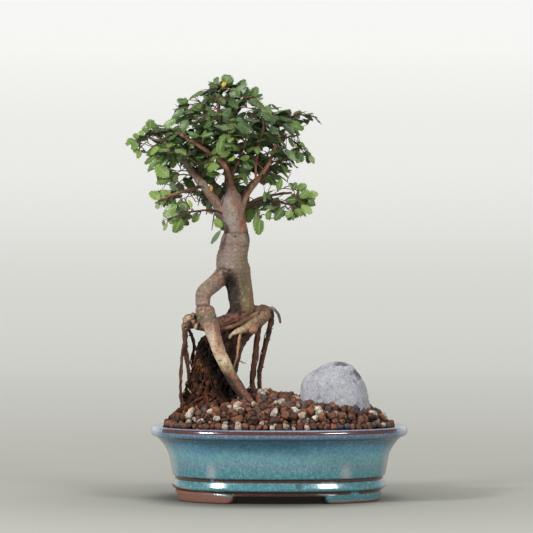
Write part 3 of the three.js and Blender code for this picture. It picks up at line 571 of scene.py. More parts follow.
def addFoot(bundle, signX, signY):  # one foot: a rounded bar under the wall, between two gaps
    halfLength, halfDepth = potShape["halfLength"], potShape["halfDepth"]
    fine = np.linspace(0, math.pi / 2, 721)
    x, y = ovalPoint(fine, halfLength - potShape["footOut"], halfDepth - potShape["footOut"], potShape["power"])
    inside = (x > potShape["gapHalfX"]) & (y > potShape["gapHalfY"])
    run = np.concatenate([[0], np.cumsum(np.hypot(np.diff(x[inside]), np.diff(y[inside])))])
    stations = 60
    marks = np.linspace(0, run[-1], stations)
    angles = np.interp(marks, run, fine[inside])
    # the ends slope in from the base to the floor
    depth = np.clip(np.minimum(marks / potShape["endFallSide"], (run[-1] - marks) / potShape["endFallFront"]), 0, 1)
    depth = 6.4 * np.sin(depth * math.pi / 2) ** 0.8
    sections = []
    # share of the way in, and height of a full foot
    corner = [(0.0, 7.4), (0.0, 6.4), (0.0, 4.0), (0.005, 1.8), (0.02, 0.6), (0.07, 0.1), (0.16, 0.0), (0.5, 0.0),
              (0.84, 0.0), (0.95, 0.15), (1.0, 1.0), (1.0, 7.4)]
    for angle, deep in zip(angles, depth):
        section = []
        for across, lift in corner:
            taper = 0.9 * (1 - lift / 7.4) * (1 - 2 * across)
            inset = potShape["footOut"] + (potShape["footIn"] - potShape["footOut"]) * across + taper
            px, py = ovalPoint(angle, halfLength - inset, halfDepth - inset, potShape["power"])
            bottom = 6.4 - deep
            section.append([px * signX, py * signY, bottom + (7.4 - bottom) * lift / 7.4])
        sections.append(section)
    rows = np.array(sections)
    count, width = rows.shape[:2]
    flip = signX * signY < 0
    faces = gridFaces(count, width, wrap=True, flip=not flip)
    caps = [np.arange(width)[None, :], (np.arange(width) + (count - 1) * width)[None, ::-1]]
    if not flip:
        caps = [c[:, ::-1] for c in caps]
    bundle.add(rows.reshape(-1, 3), [faces, *caps])


def makePotGlaze():
    material, tree, shader = newMaterial("oceanGlaze")
    place = node(tree, "ShaderNodeTexCoord").outputs["Object"]
    axes = node(tree, "ShaderNodeSeparateXYZ", {0: place}).outputs
    height = sums(tree, "MULTIPLY", axes["Z"], 1000.0)
    alongX = sums(tree, "MULTIPLY", axes["X"], 1000.0)
    cloud, cloudHeight = grainOf(tree, 30, (1, 1, 0.6), 0.5)
    run, runHeight = grainOf(tree, 5.5, (1, 1, 0.22), 0.65)
    fine, fineHeight = grainOf(tree, 1.8, (1, 1, 0.75), 0.75, 0.38, 0.62)
    shifted = sums(tree, "ADD", height, sums(tree, "MULTIPLY", sums(tree, "SUBTRACT", cloudHeight, 0.5), 9.0))
    shifted = sums(tree, "ADD", shifted, sums(tree, "MULTIPLY", sums(tree, "SUBTRACT", runHeight, 0.5), 7.0))
    band = scaled(tree, shifted, 0.0, 60.0)
    colour = ramp(tree, band, [(0.0, "497f86"), (0.24, "497f86"), (0.36, "46848d"), (0.42, "558e93"), (0.47, "6c8799"),
                               (0.53, "69989c"), (0.62, "70a8b5"), (0.72, "5a9bbd"), (0.78, "4683a6"), (0.82, "447fa2"),
                               (0.86, "5b6e89"), (0.97, "8288a8")])
    speckle = scaled(tree, fineHeight, 0.53, 0.62)
    shade = scaled(tree, fineHeight, 0.47, 0.37)
    colour = blendTints(tree, sums(tree, "MULTIPLY", speckle, 0.5), colour, solidTint("8fbfc6"))
    colour = blendTints(tree, sums(tree, "MULTIPLY", shade, 0.6), colour, solidTint("2f6078"))
    colour = blendTints(tree, sums(tree, "MULTIPLY", run, 0.2), colour, solidTint("3b7286"))
    # painted light: the pot's two ends are painted paler, towards lavender, as rim light, and two pale runs down its
    # front are painted reflections of the two lamps
    colour = blendTints(tree, sums(tree, "MULTIPLY", stored(tree, "paintedEndLight"), 0.85), colour, solidTint("d0d3de"))
    colour = blendTints(tree, sums(tree, "MULTIPLY", stored(tree, "paintedLampReflection"), 0.6), colour, solidTint("b9b4bd"))
    for markX, markZ, markRadius, markTint in potShape["marks"]:
        spot = (markX * 0.001 + potMiddle[0], -0.0625, markZ * 0.001)
        away = node(tree, "ShaderNodeVectorMath", {0: place, 1: spot}, operation="DISTANCE").outputs["Value"]
        ragged = sums(tree, "ADD", away, sums(tree, "MULTIPLY", sums(tree, "SUBTRACT", fineHeight, 0.5), 0.0012))
        mark = scaled(tree, ragged, (markRadius + 3.0) * 0.001, markRadius * 0.0007 + 0.0021)
        colour = blendTints(tree, sums(tree, "MULTIPLY", mark, 0.8), colour, solidTint(markTint))
    # the glaze thins to brown in the grooves and along the rim's top edge
    brown = blendTints(tree, fine, solidTint("3a201c"), solidTint("5b3328"))
    thin = stored(tree, "thinGlaze")
    breakup = sums(tree, "ADD", thin, sums(tree, "MULTIPLY", sums(tree, "SUBTRACT", runHeight, 0.5), 0.5))
    thinMask = scaled(tree, breakup, 0.42, 0.58)
    colour = blendTints(tree, thinMask, colour, brown)
    darkSpots = specksOf(tree, 9.0, 0.09, 0.4)
    colour = blendTints(tree, darkSpots, colour, solidTint("22313a"))
    paleSpots = specksOf(tree, 14.0, 0.12, 0.25, (1, 1, 0.6))
    colour = blendTints(tree, sums(tree, "MULTIPLY", paleSpots, 0.7), colour, solidTint("b7c3d6"))
    # bare clay below the glaze line
    bare = stored(tree, "bareClay")
    edge = sums(tree, "ADD", bare, sums(tree, "MULTIPLY", sums(tree, "SUBTRACT", fineHeight, 0.5), 0.12))
    bareMask = scaled(tree, edge, 0.46, 0.54)
    rim = sums(tree, "MULTIPLY", scaled(tree, edge, 0.30, 0.44), scaled(tree, edge, 0.56, 0.46))
    colour = blendTints(tree, sums(tree, "MULTIPLY", rim, 0.65), colour, solidTint("8fb4c4"))
    clayGrain, clayHeight = grainOf(tree, 0.9, (1, 1, 1), 0.75, 0.3, 0.7)
    clay = blendTints(tree, clayGrain, solidTint("6d4638"), solidTint("93685a"))
    clayDots = specksOf(tree, 2.2, 0.16, 0.35)
    clay = blendTints(tree, sums(tree, "MULTIPLY", clayDots, 0.6), clay, solidTint("4c3028"))
    feed(tree, shader.inputs["Base Color"], blendTints(tree, bareMask, colour, clay))
    rough = blendTints(tree, fine, (0.14, 0.14, 0.14, 1), (0.26, 0.26, 0.26, 1))
    rough = blendTints(tree, thinMask, rough, (0.2, 0.2, 0.2, 1))
    feed(tree, shader.inputs["Roughness"], blendTints(tree, bareMask, rough, (0.78, 0.78, 0.78, 1)))
    feed(tree, shader.inputs["Coat Weight"], sums(tree, "SUBTRACT", 0.7, sums(tree, "MULTIPLY", bareMask, 0.7)))
    shader.inputs["Coat Roughness"].default_value = 0.06
    shader.inputs["IOR"].default_value = 1.55
    soft = bumpOf(tree, cloudHeight, 0.25, 0.5)
    pits = bumpOf(tree, fineHeight, 0.06, 0.5, soft)
    grit = bumpOf(tree, sums(tree, "MULTIPLY", clayHeight, bareMask), 0.3, 0.8, pits)
    feed(tree, shader.inputs["Normal"], grit)
    return material


def makePot():
    points, faces, _ = makePotBody().arrays()
    clay = bpy.data.materials.new("clay")
    draft = showPiece("pot_draft", buildMesh("pot_draft", points, faces), clay)
    around = np.arange(48) / 48 * 2 * math.pi
    for x in (-potShape["holeX"], potShape["holeX"]):
        ring = np.stack([x + np.cos(around) * potShape["holeRadius"], np.sin(around) * potShape["holeRadius"]], axis=-1)
        low = np.hstack([ring, np.full((48, 1), 3.0)])
        high = np.hstack([ring, np.full((48, 1), 15.0)])
        ends = [np.arange(48)[None, ::-1], (np.arange(48) + 48)[None, :]]
        cutter = showPiece("hole_draft", buildMesh("hole_draft", np.vstack([low, high]), [gridFaces(2, 48), *ends]), clay)
        cut = draft.modifiers.new("drain", "BOOLEAN")
        cut.operation = "DIFFERENCE"
        cut.solver = "EXACT"
        cut.object = cutter
        mesh = finishedMesh(draft)
        draft.modifiers.clear()
        old = draft.data
        draft.data = mesh
        bpy.data.meshes.remove(old)
        dropPiece(cutter)
    bundle = Bundle()
    bundle.add(pointsOf(draft.data), facesOf(draft.data))
    dropPiece(draft)
    for signX in (-1, 1):
        for signY in (-1, 1):
            addFoot(bundle, signX, signY)
    points, faces, _ = bundle.arrays()
    x, y, z = points.T
    q = (np.abs(x) / potShape["halfLength"]) ** potShape["power"] + (np.abs(y) / potShape["halfDepth"]) ** potShape["power"]
    inset = (1 - q ** (1 / potShape["power"])) * potShape["halfDepth"]
    between = lambda span, soft: fade(span[0] - soft, span[0] + soft, z) * (1 - fade(span[1] - soft, span[1] + soft, z))
    grooves = between(potShape["lowGroove"], 0.3) + between(potShape["highGroove"], 0.3)
    lipLine = between(potShape["lipLine"], 0.35) * (inset > 1.5) * (inset < 8)
    lip = between(potShape["lipBand"], 0.3) * (inset < 3.2) * (1 - fade(84, 95, np.abs(x)))
    hem = (1 - fade(7.4, 8.6, z)) * (1 - fade(30, 38, np.abs(x))) * (inset < 40)
    drip = np.exp(-((x + 51) / 1.3) ** 2) * (np.abs(z - 17.6) < 2.4) * (y < 0)
    drip += np.exp(-((x - 57.5) / 3) ** 2) * (np.abs(z - 8.2) < 2.4) * (y < 0)
    thin = np.clip(grooves + lip + lipLine + 0.8 * hem - 1.2 * drip, 0, 1)
    # painted reflections of the two lamps as pale runs on the front wall, and painted rim light at the pot's two ends
    high = fade(17, 21, z) * (1 - fade(24, 34, z)) * (y < 0)
    paintedLampReflection = high * (np.exp(-((x + 51.5) / 3.2) ** 2) + np.exp(-((x - 50.6) / 3.8) ** 2))
    paintedEndLight = fade(0.88, 0.985, np.abs(x) / (potShape["halfLength"] - inset)) * (z > 9)
    # the front left foot is bare below a slanting line, the others keep a thin bare edge
    swell = 0.5 * np.sin(x * 0.35) + 0.4 * np.sin(x * 0.13 + 1)
    line = np.where((x < 0) & (y < 0), np.interp(x, *potShape["bareLine"]) + swell * 0.5, 1.9 + swell * 0.4)
    line = np.where((x > 0) & (y > 0), 5.2 + swell, line)
    bare = np.clip(0.5 + (line - z) * 0.35, 0, 1)
    bare = np.where((inset > 26) & (z < 12.5), 1.0, bare)
    bare = np.where((inset > 16) & (z > 22), np.maximum(bare, fade(16, 19, inset)), bare)
    mesh = buildMesh("pot", points, faces, {"thinGlaze": thin, "bareClay": bare, "paintedLampReflection": paintedLampReflection, "paintedEndLight": paintedEndLight})
    return showPiece("glazed_pot", mesh, makePotGlaze(), ["pot"])


makePot()
print("pot made")


# Drain screens

def makeScreenPlastic():
    material, tree, shader = newMaterial("screenPlastic")
    worn, wornHeight = grainOf(tree, 3.0, (1, 1, 1), 0.7)
    feed(tree, shader.inputs["Base Color"], blendTints(tree, worn, solidTint("1c1f22"), solidTint("3a3330")))
    feed(tree, shader.inputs["Roughness"], scaled(tree, worn, 0.0, 1.0, 0.45, 0.75))
    feed(tree, shader.inputs["Normal"], bumpOf(tree, wornHeight, 0.2, 0.4))
    return material


screenPlastic = makeScreenPlastic()
for screenName in ("drain_screen_left", "drain_screen_right"):
    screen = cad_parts[screenName]
    screen.data.materials.clear()
    screen.data.materials.append(screenPlastic)


# Soil

soilShape = {
    "edgeHeight": 56.5,
    "shoulder": 10.0,
    "crown": 8.0,
    "mound": 7.0,
    "moundAt": (-14.0, 2.0),
    "moundSpread": 17.0,
    "wallInset": 12.0,
    "pitch": 4.8,
    "upperPitch": 6.3,
    "rimGrains": 96,
    # smallest and largest grain of the lower layer, the upper layer and the row along the rim
    "grainSizes": [(3.6, 5.6), (4.6, 8.0), (3.8, 6.6)],
    "fineShare": 0.17,
    # how near a neighbour a grain's skin takes painted shade
    "gapMm": 1.3,
}


def bedFraction(x, y):
    across = (np.abs(x) / (potShape["halfLength"] - soilShape["wallInset"])) ** potShape["power"]
    deep = (np.abs(y) / (potShape["halfDepth"] - soilShape["wallInset"])) ** potShape["power"]
    return (across + deep) ** (1 / potShape["power"])


def soilHeight(x, y):
    q = np.minimum(bedFraction(x, y), 1)
    moundX, moundY = soilShape["moundAt"]
    away = (x - moundX) ** 2 + (y - moundY) ** 2
    mound = soilShape["mound"] * np.exp(-away / (2 * soilShape["moundSpread"] ** 2))
    return soilShape["edgeHeight"] + soilShape["shoulder"] * (1 - q ** 8) + soilShape["crown"] * (1 - q * q) + mound


def makeBedEarthAndGapShade():
    material, tree, shader = newMaterial("bedEarthAndGapShade")
    coarse, coarseHeight = grainOf(tree, 2.6, (1, 1, 1), 0.7, 0.3, 0.7)
    feed(tree, shader.inputs["Base Color"], blendTints(tree, coarse, solidTint("140d0a"), solidTint("33211a")))
    shader.inputs["Roughness"].default_value = 0.95
    feed(tree, shader.inputs["Normal"], bumpOf(tree, coarseHeight, 1.0, 0.8))
    return material


def makeGrainStone(name, dark, light, speck, roughness, patch):
    material, tree, shader = newMaterial(name)
    tone = stored(tree, "grainTone")
    fine, fineHeight = grainOf(tree, 0.9, (1, 1, 1), 0.8, 0.36, 0.64)
    broad, _ = grainOf(tree, 2.6, (1, 1, 1), 0.7, 0.45, 0.56)
    colour = blendTints(tree, tone, solidTint(dark), solidTint(light))
    colour = blendTints(tree, sums(tree, "MULTIPLY", broad, patch), colour, solidTint("4a281b"))
    colour = blendTints(tree, sums(tree, "MULTIPLY", fine, 0.5), colour, solidTint(speck))
    crumb = scaled(tree, fineHeight, 0.48, 0.38)
    colour = blendTints(tree, sums(tree, "MULTIPLY", crumb, 0.85), colour, solidTint("140b08"))
    pores = specksOf(tree, 1.1, 0.28, 0.45)
    colour = blendTints(tree, sums(tree, "MULTIPLY", pores, 0.6), colour, solidTint("150d0a"))
    # painted shade: grains darken in their dents, on their lower sides and where they touch
    colour = hollowed(tree, colour, "0c0605", 0.92)
    feed(tree, shader.inputs["Base Color"], colour)
    feed(tree, shader.inputs["Roughness"], scaled(tree, fine, 0.0, 1.0, roughness - 0.3, roughness))
    shader.inputs["Specular IOR Level"].default_value = 0.45
    dents = bumpOf(tree, fineHeight, 0.9, 1.0)
    feed(tree, shader.inputs["Normal"], bumpOf(tree, sums(tree, "SUBTRACT", 1.0, pores), 0.4, 0.6, dents))
    return material


def ballShape(level):
    import bmesh
    made = bmesh.new()
    bmesh.ops.create_icosphere(made, subdivisions=level, radius=1.0)
    made.verts.ensure_lookup_table()
    points = np.array([v.co[:] for v in made.verts])
    faces = np.array([[v.index for v in f.verts] for f in made.faces])
    made.free()
    return points, faces


def turnings(count):  # random rotations as rows of three axes
    first = unit(draws.normal(size=(count, 3)))
    second = draws.normal(size=(count, 3))
    second = unit(second - first * np.sum(first * second, axis=1, keepdims=True))
    return np.stack([first, second, np.cross(first, second)], axis=1)


def scatterPebbles(centres, sizes, level, seed, tones, angular=0.16, cuts=8, shaded=0.0):
    ball, faces = ballShape(level)
    count = len(centres)
    stretch = 1 + draws.uniform(-0.22, 0.22, (count, 1, 3))
    turn = turnings(count)
    local = ball[None] * np.ones((count, 1, 1))
    shifted = (local * 1.5 + np.arange(count)[:, None, None] * 7.31).reshape(-1, 3)
    # each grain is a ball broken along a few flat faces
    facing = np.einsum("nkj,pj->nkp", unit(draws.normal(size=(count, cuts, 3))), ball)
    depth = draws.uniform(0.68, 0.98, (count, cuts, 1))
    broken = np.minimum(np.where(facing > 0.1, depth / np.maximum(facing, 0.1), 9).min(axis=1), 1.06)
    rough = 1 + angular * cellNoise(shifted, 0.8, seed).reshape(count, -1)
    rough = broken * (rough + 0.4 * angular * cellNoise(shifted, 0.3, seed + 1).reshape(count, -1))
    shaped = local * rough[:, :, None] * stretch * (sizes / 2)[:, None, None]
    turned = np.einsum("nij,njk->nik", shaped, turn)
    points = turned + centres[:, None, :]
    # painted shade where a grain's skin dips below its round
    hollow = np.clip((0.86 - rough) * 4, 0, 1)
    # a grain's lower side lies in the shade of its neighbours
    lower = -turned[:, :, 2] / (sizes / 2)[:, None]
    hollow = np.maximum(hollow, shaded * np.clip(lower * 1.25 + 0.05, 0, 1))
    size = len(ball)
    allFaces = (faces[None] + (np.arange(count) * size)[:, None, None]).reshape(-1, 3)
    return points.reshape(-1, 3), allFaces, np.repeat(tones, size), hollow.ravel()


def paintedGapShade(points, owners, centres, sizes):  # painted shade: 1 where a point touches a neighbouring grain, 0 in the open
    nearest = np.empty(len(points))
    own = np.sum(centres ** 2, axis=1)
    for first in range(0, len(points), 2000):
        some = points[first:first + 2000]
        away = np.sum(some ** 2, axis=1)[:, None] + own - 2 * some @ centres.T
        away = np.sqrt(np.maximum(away, 0)) - sizes * 0.47
        away[np.arange(len(some)), owners[first:first + 2000]] = 9
        nearest[first:first + 2000] = away.min(axis=1)
    return fade(soilShape["gapMm"], 0.1, nearest)


def bedPlaces(pitch, seed, loose):
    rowPitch = pitch * math.sqrt(3) / 2
    columns = int(220 / pitch)
    rows = int(170 / rowPitch)
    gridX, gridY = np.meshgrid(np.arange(columns), np.arange(rows))
    x = (gridX + (gridY % 2) * 0.5) * pitch - 110
    y = gridY * rowPitch - 85
    place = np.random.default_rng(seed)
    x = x + place.uniform(-loose, loose, x.shape) * pitch
    y = y + place.uniform(-loose, loose, y.shape) * pitch
    x, y = x.ravel(), y.ravel()
    keep = bedFraction(x, y) < 0.985
    return x[keep], y[keep]


def insideStone(x, y, margin):
    return ((x - 44) / (26 - margin)) ** 2 + ((y + 8) / (20.5 - margin)) ** 2 < 1


def insideClump(x, y, margin):
    return ((x + 50) / (24 - margin)) ** 2 + ((y - 4) / (22 - margin)) ** 2 < 1


def makeSoil():
    # a dark bed below the loose grains: earth, made nearly black so that it also stands as painted shade in the gaps
    # between them
    angles = evenOvalAngles(160, 88, 67, potShape["power"])
    rings = []
    shares = np.linspace(1.0, 0.02, 40)
    for share in shares:
        reach = potShape["halfLength"] - 11.4, potShape["halfDepth"] - 11.4
        x, y = ovalPoint(angles, reach[0] * share, reach[1] * share, potShape["power"])
        z = soilHeight(x, y) - 3.0 + 0.7 * cellNoise(np.stack([x, y, x * 0], axis=-1), 4.0, 12)
        rings.append(np.stack([x, y, z], axis=-1))
    side = rings[0].copy()
    side[:, 2] = 50
    stack = np.array([side] + rings)
    bundle = Bundle()
    rows = len(stack)
    points = np.vstack([stack.reshape(-1, 3), [[0, 0, 50.0], [0, 0, soilHeight(0, 0) - 2.4]]])
    here = np.arange(160)
    after = np.roll(here, -1)
    fans = np.vstack([
        np.stack([np.full(160, rows * 160), after, here], axis=-1),
        np.stack([np.full(160, rows * 160 + 1), here + (rows - 1) * 160, after + (rows - 1) * 160], axis=-1)])
    bundle.add(points, [gridFaces(rows, 160), fans])
    points, faces, _ = bundle.arrays()
    showPiece("soil_bed", buildMesh("soil_bed", points, faces), makeBedEarthAndGapShade(), ["soil"])

    kinds = {
        "lava_grains": {"colours": ("3a190f", "96502f"), "speck": "b98262", "rough": 0.85, "angular": 0.2, "patch": 0.3},
        "clay_grains": {"colours": ("25130c", "643a26"), "speck": "8a5d45", "rough": 0.88, "angular": 0.18, "patch": 0.3},
        "char_grains": {"colours": ("161517", "4e4c52"), "speck": "7d7a82", "rough": 0.7, "angular": 0.2, "patch": 0.2},
        "pumice_grains": {"colours": ("b98d62", "f6e7d0"), "speck": "fff8ec", "rough": 0.9, "angular": 0.24, "patch": 0.75},
    }
    lowX, lowY = bedPlaces(soilShape["pitch"], 31, 0.34)
    topX, topY = bedPlaces(soilShape["upperPitch"], 32, 0.4)
    rimAngles = evenOvalAngles(soilShape["rimGrains"], 87, 66, potShape["power"])
    rimX, rimY = ovalPoint(rimAngles, 87, 66, potShape["power"])
    x = np.concatenate([lowX, topX, rimX])
    y = np.concatenate([lowY, topY, rimY])
    layer = np.repeat([0, 1, 2], [len(lowX), len(topX), len(rimX)])
    spans = np.array(soilShape["grainSizes"])[layer]
    sizes = spans[:, 0] + (spans[:, 1] - spans[:, 0]) * draws.random(len(x))
    q = bedFraction(x, y)
    z = soilHeight(x, y) + np.array([-1.3, 1.5, 0.0])[layer] + draws.uniform(-0.7, 0.7, len(x))
    z = np.where(layer == 2, np.where(y < 0, 58.6, 57.6) + draws.uniform(-0.6, 0.9, len(x)), z)
    keep = ~insideStone(x, y, 0.5) & ~insideClump(x, y, 2.0)
    keep &= (q < 0.93) | (layer != 1)
    centres = np.stack([x, y, z], axis=-1)[keep]
    sizes = sizes[keep]
    # pale grains gather towards the front left
    pale = 0.15 + 0.12 * np.exp(-(((centres[:, 0] + 30) / 45) ** 2 + ((centres[:, 1] + 55) / 26) ** 2))
    pale[insideClump(centres[:, 0], centres[:, 1], -11.0)] = 0.03
    brown = np.searchsorted([0.55, 0.86], draws.random(len(sizes)))
    kindOf = np.where(draws.random(len(sizes)) < pale, 3, brown)
    for index, (name, kind) in enumerate(kinds.items()):
        chosen = kindOf == index
        spots, diameters = centres[chosen], sizes[chosen]
        order = np.argsort(spots[:, 1])
        front = np.zeros(len(spots), bool)
        front[order[:int(len(spots) * soilShape["fineShare"])]] = True
        bundle = Bundle()
        for level, part in ((3, front), (2, ~front)):
            tones = draws.random(part.sum()) ** 1.5
            points, faces, tone, hollow = scatterPebbles(spots[part], diameters[part], level, 60 + index, tones,
                                                         kind["angular"], shaded=0.6)
            owners = np.repeat(np.flatnonzero(chosen)[part], len(points) // part.sum())
            hollow = np.maximum(hollow, paintedGapShade(points, owners, centres, sizes))
            bundle.add(points, [faces], grainTone=tone, hollow=hollow)
        points, faces, values = bundle.arrays()
        stone = makeGrainStone(name.replace("_g", "G"), *kind["colours"], kind["speck"], kind["rough"], kind["patch"])
        showPiece(name, buildMesh(name, points, faces, values), stone, ["soil"])


makeSoil()
print("soil made")


# Stone

stoneShape = {
    # height, middle x, middle y, half width, half depth
    "levels": [(56, 44, -8, 27, 21), (66, 44, -8, 27.5, 22), (77, 43.2, -8, 27, 21.5), (90, 42.2, -7.5, 25, 20),
               (97, 43, -7, 20, 16), (102.3, 45, -6.5, 13, 10.5), (105.6, 45, -6, 6.5, 5.5)],
    "around": 150,
    "perLevel": 11,
}


def makeStoneFinish():
    material, tree, shader = newMaterial("greyStone")
    broad, broadHeight = grainOf(tree, 16, (1, 1, 1), 0.55)
    streak, streakHeight = grainOf(tree, 3.0, (1, 1, 0.18), 0.65)
    fine, fineHeight = grainOf(tree, 1.2, (1, 1, 0.7), 0.8, 0.4, 0.6)
    colour = blendTints(tree, broad, solidTint("93949b"), solidTint("a6a7ae"))
    colour = blendTints(tree, sums(tree, "MULTIPLY", streak, 0.6), colour, solidTint("74757f"))
    colour = blendTints(tree, sums(tree, "MULTIPLY", fine, 0.42), colour, solidTint("d2d3da"))
    grit = scaled(tree, fineHeight, 0.48, 0.38)
    colour = blendTints(tree, sums(tree, "MULTIPLY", grit, 0.4), colour, solidTint("5e5f68"))
    warm, _ = grainOf(tree, 9, (1, 1, 1), 0.5, 0.55, 0.7)
    colour = blendTints(tree, sums(tree, "MULTIPLY", warm, 0.22), colour, solidTint("b09c8b"))
    dark = stored(tree, "darkPatch")
    darkMask = scaled(tree, sums(tree, "ADD", dark, sums(tree, "MULTIPLY", sums(tree, "SUBTRACT", fineHeight, 0.5), 0.9)), 0.4, 0.75)
    colour = blendTints(tree, sums(tree, "MULTIPLY", darkMask, 0.8), colour, solidTint("3c3a40"))
    # painted shade in the stone's dents, pits and scored lines
    colour = hollowed(tree, colour, "4a464c", 0.55)
    glints = specksOf(tree, 1.6, 0.22, 0.35)
    colour = blendTints(tree, sums(tree, "MULTIPLY", glints, 0.6), colour, solidTint("e2e0e4"))
    feed(tree, shader.inputs["Base Color"], colour)
    feed(tree, shader.inputs["Roughness"], scaled(tree, fine, 0.0, 1.0, 0.62, 0.85))
    chips = bumpOf(tree, broadHeight, 1.2, 0.4)
    scored = bumpOf(tree, streakHeight, 0.5, 0.5, chips)
    feed(tree, shader.inputs["Normal"], bumpOf(tree, fineHeight, 0.35, 0.7, scored))
    return material


def makeStone():
    line = smoothLine([(z, x, y, hx, hy) for z, x, y, hx, hy in stoneShape["levels"]], stoneShape["perLevel"])
    around = stoneShape["around"]
    angles = np.arange(around) / around * 2 * math.pi
    rings = []
    for row, (z, x, y, hx, hy) in enumerate(line):
        level = row / stoneShape["perLevel"]
        facet = 1 - 0.055 * np.cos(4 * angles + 0.6) + 0.03 * np.sin(7 * angles + level * 0.8)
        rings.append(np.stack([x + np.cos(angles) * hx * facet, y + np.sin(angles) * hy * facet,
                               z + 0.8 * np.sin(5 * angles + level)], axis=-1))
    top = rings[-1]
    centre = top.mean(axis=0) + [0, 0, 1.0]
    for share in (0.7, 0.4, 0.12):
        rings.append(centre + (top - centre) * [share, share, share ** 1.5])
    stack = np.array(rings)
    rows = len(stack)
    points = np.vstack([stack.reshape(-1, 3), [centre, stack[0].mean(axis=0)]])
    here = np.arange(around)
    after = np.roll(here, -1)
    fans = np.vstack([
        np.stack([np.full(around, rows * around + 1), after, here], axis=-1),
        np.stack([np.full(around, rows * around), here + (rows - 1) * around, after + (rows - 1) * around], axis=-1)])
    draft = buildMesh("stone_draft", points, [gridFaces(rows, around), fans])
    normals = normalsOf(draft)
    bpy.data.meshes.remove(draft)
    # broken faces, pits and scored lines
    breaks = layeredNoise(points, 11.0, 21, 3)
    plates = np.abs(cellNoise(points, 8.0, 25))
    pits = np.minimum(cellNoise(points, 2.2, 28), 0)
    scores = np.abs(cellNoise(points * [1, 1, 0.22], 2.6, 29))
    push = 0.4 * breaks - 0.7 * (plates < 0.10) * (0.10 - plates) / 0.10 + 0.3 * pits - 0.3 * (scores < 0.16)
    moved = points + normals * push[:, None]
    # painted shade: the deeper a point is pressed in, the darker
    hollow = np.clip(-push * 0.8 - 0.1, 0, 1)
    x, y, z = moved.T
    patch = 1.5 * np.exp(-((x - 47) / 7) ** 2 - ((z - 105) / 3) ** 2) + 1.3 * np.exp(-((x - 59) / 4.5) ** 2 - ((z - 97) / 4.5) ** 2)
    patch += 0.45 * np.exp(-((x - 66) / 5) ** 2 - ((z - 82) / 10) ** 2) + 0.4 * fade(70, 60, z)
    patch *= np.clip(0.75 + 1.3 * layeredNoise(moved, 3.2, 31, 2), 0, 1.6)
    mesh = buildMesh("stone", moved, [gridFaces(rows, around), fans], {"hollow": hollow, "darkPatch": patch})
    showPiece("grey_stone", mesh, makeStoneFinish(), ["stone"])


makeStone()
print("stone made")


# Wood: the limbs repeat the lines of the part's source as rows of x, y, z, radius

trunkRows = [(-36, 2, 236, 6.6), (-36, 1, 232, 8.8), (-35.5, 0, 225, 9.2), (-35, 0, 216, 9.1), (-34, 0, 209, 9.5),
             (-34, 0, 202, 11), (-35, 0, 193, 11.1), (-36, 0, 184, 11.9), (-35, 0, 176, 12.4), (-32, 1, 166, 10.6),
             (-30, 1, 155, 10.5), (-29, 2, 147, 10.6), (-30, 2, 139, 8.6)]
kneeRows = [(-40, 0, 182, 6), (-45, -3, 173, 6.6), (-53, -8, 165, 6.6), (-58, -11, 160, 6.3), (-59, -13, 152, 5.6),
            (-57, -15, 145, 7.0), (-53, -17, 137, 6.3), (-50, -19, 126, 5.4), (-46, -20, 114, 5.1), (-41, -21, 104, 4.9),
            (-35, -22, 93, 4.6), (-28, -23, 83, 3.9), (-21, -24, 74, 2.9), (-16, -24, 67, 2)]

thickRoots = {
    "crossRoot": [(-23, 0, 144, 4.4), (-31, -3, 141, 5.1), (-42, -5, 138, 5.3), (-53, -6, 135, 5), (-63, -6, 136, 4.7),
                  (-70, -5, 139, 4), (-73, -5, 134, 2.8), (-73, -5, 128, 2.1)],
    "paleRoot": [(-10, -2, 143, 4.4), (-14, -8, 140, 5), (-20, -11, 136, 4.5), (-28, -13, 132, 3.3),
                 (-35, -13, 129, 1.8), (-39, -12, 125, 1.1)],
    "cutStub": [(-19, -12, 134, 3.2), (-20, -21, 131, 3)],
    "innerRoot": [(-16, -4, 137, 4.7), (-25, -6, 128, 4.2), (-31, -7, 118, 3.6), (-34, -6, 106, 3.2), (-37, -3, 93, 3)],
    "rightKnob": [(-24, 0, 145, 3.8), (-13, 0, 147.5, 3.6), (-7, 0, 146, 3.1)],
    "backRootA": [(-29, 5, 148, 5.4), (-31, 15, 136, 4.8), (-36, 23, 118, 4.2), (-39, 28, 99, 3.8), (-40, 31, 80, 3.2),
                  (-40, 33, 64, 2.6)],
    "backRootB": [(-34, 5, 146, 5), (-43, 14, 134, 4.3), (-50, 19, 119, 3.9), (-55, 23, 101, 3.5), (-58, 27, 82, 3),
                  (-60, 29, 66, 2.4)],
    "coreRoot": [(-32, 0, 145, 6), (-38, 0, 132, 5.6), (-43, 0, 117, 5.2), (-45, 1, 99, 4.7), (-45, 2, 82, 4)],
}

hangingRoots = {
    "leftHangA": [(-73, -5, 132, 2.2), (-73, -5, 122, 1.9), (-71, -4, 106, 1.5), (-69, -2, 90, 1.2), (-66, 0, 76, 1),
                  (-65, 1, 62, 1)],
    "leftHangB": [(-72, -5, 126, 1.4), (-75, -8, 112, 1.1), (-76, -9, 97, 1), (-76, -8, 82, 1), (-73, -7, 66, 1),
                  (-72, -7, 56, 1)],
    "leftHangC": [(-71, -3, 134, 1.2), (-66, 1, 120, 1), (-67, 2, 106, 1), (-64, 3, 90, 1)],
    "loopRoot": [(-12, 0, 147, 2.3), (-17, -7, 144, 1.9), (-26, -12, 139, 1.8), (-36, -14, 134, 1.5),
                 (-46, -12, 132, 1.4)],
    "rightHangA": [(-16, -2, 136, 2.6), (-17, -2, 126, 2.3), (-19, 0, 108, 2.2), (-21, 1, 95, 2), (-20, 2, 82, 1.8),
                   (-19, 3, 70, 1.5)],
    "rightHangB": [(-8, 1, 148, 3), (-6, 2, 140, 2.4), (-8, 3, 129, 1.9), (-12, 4, 112, 1.8), (-15, 5, 98, 1.7),
                   (-15, 6, 82, 1.6), (-14, 7, 70, 1.4)],
    "hookRoot": [(-9, 0, 147, 1.6), (-5, -2, 148, 1.2), (-1, -3, 144, 1.1), (1, -4, 137, 1)],
}

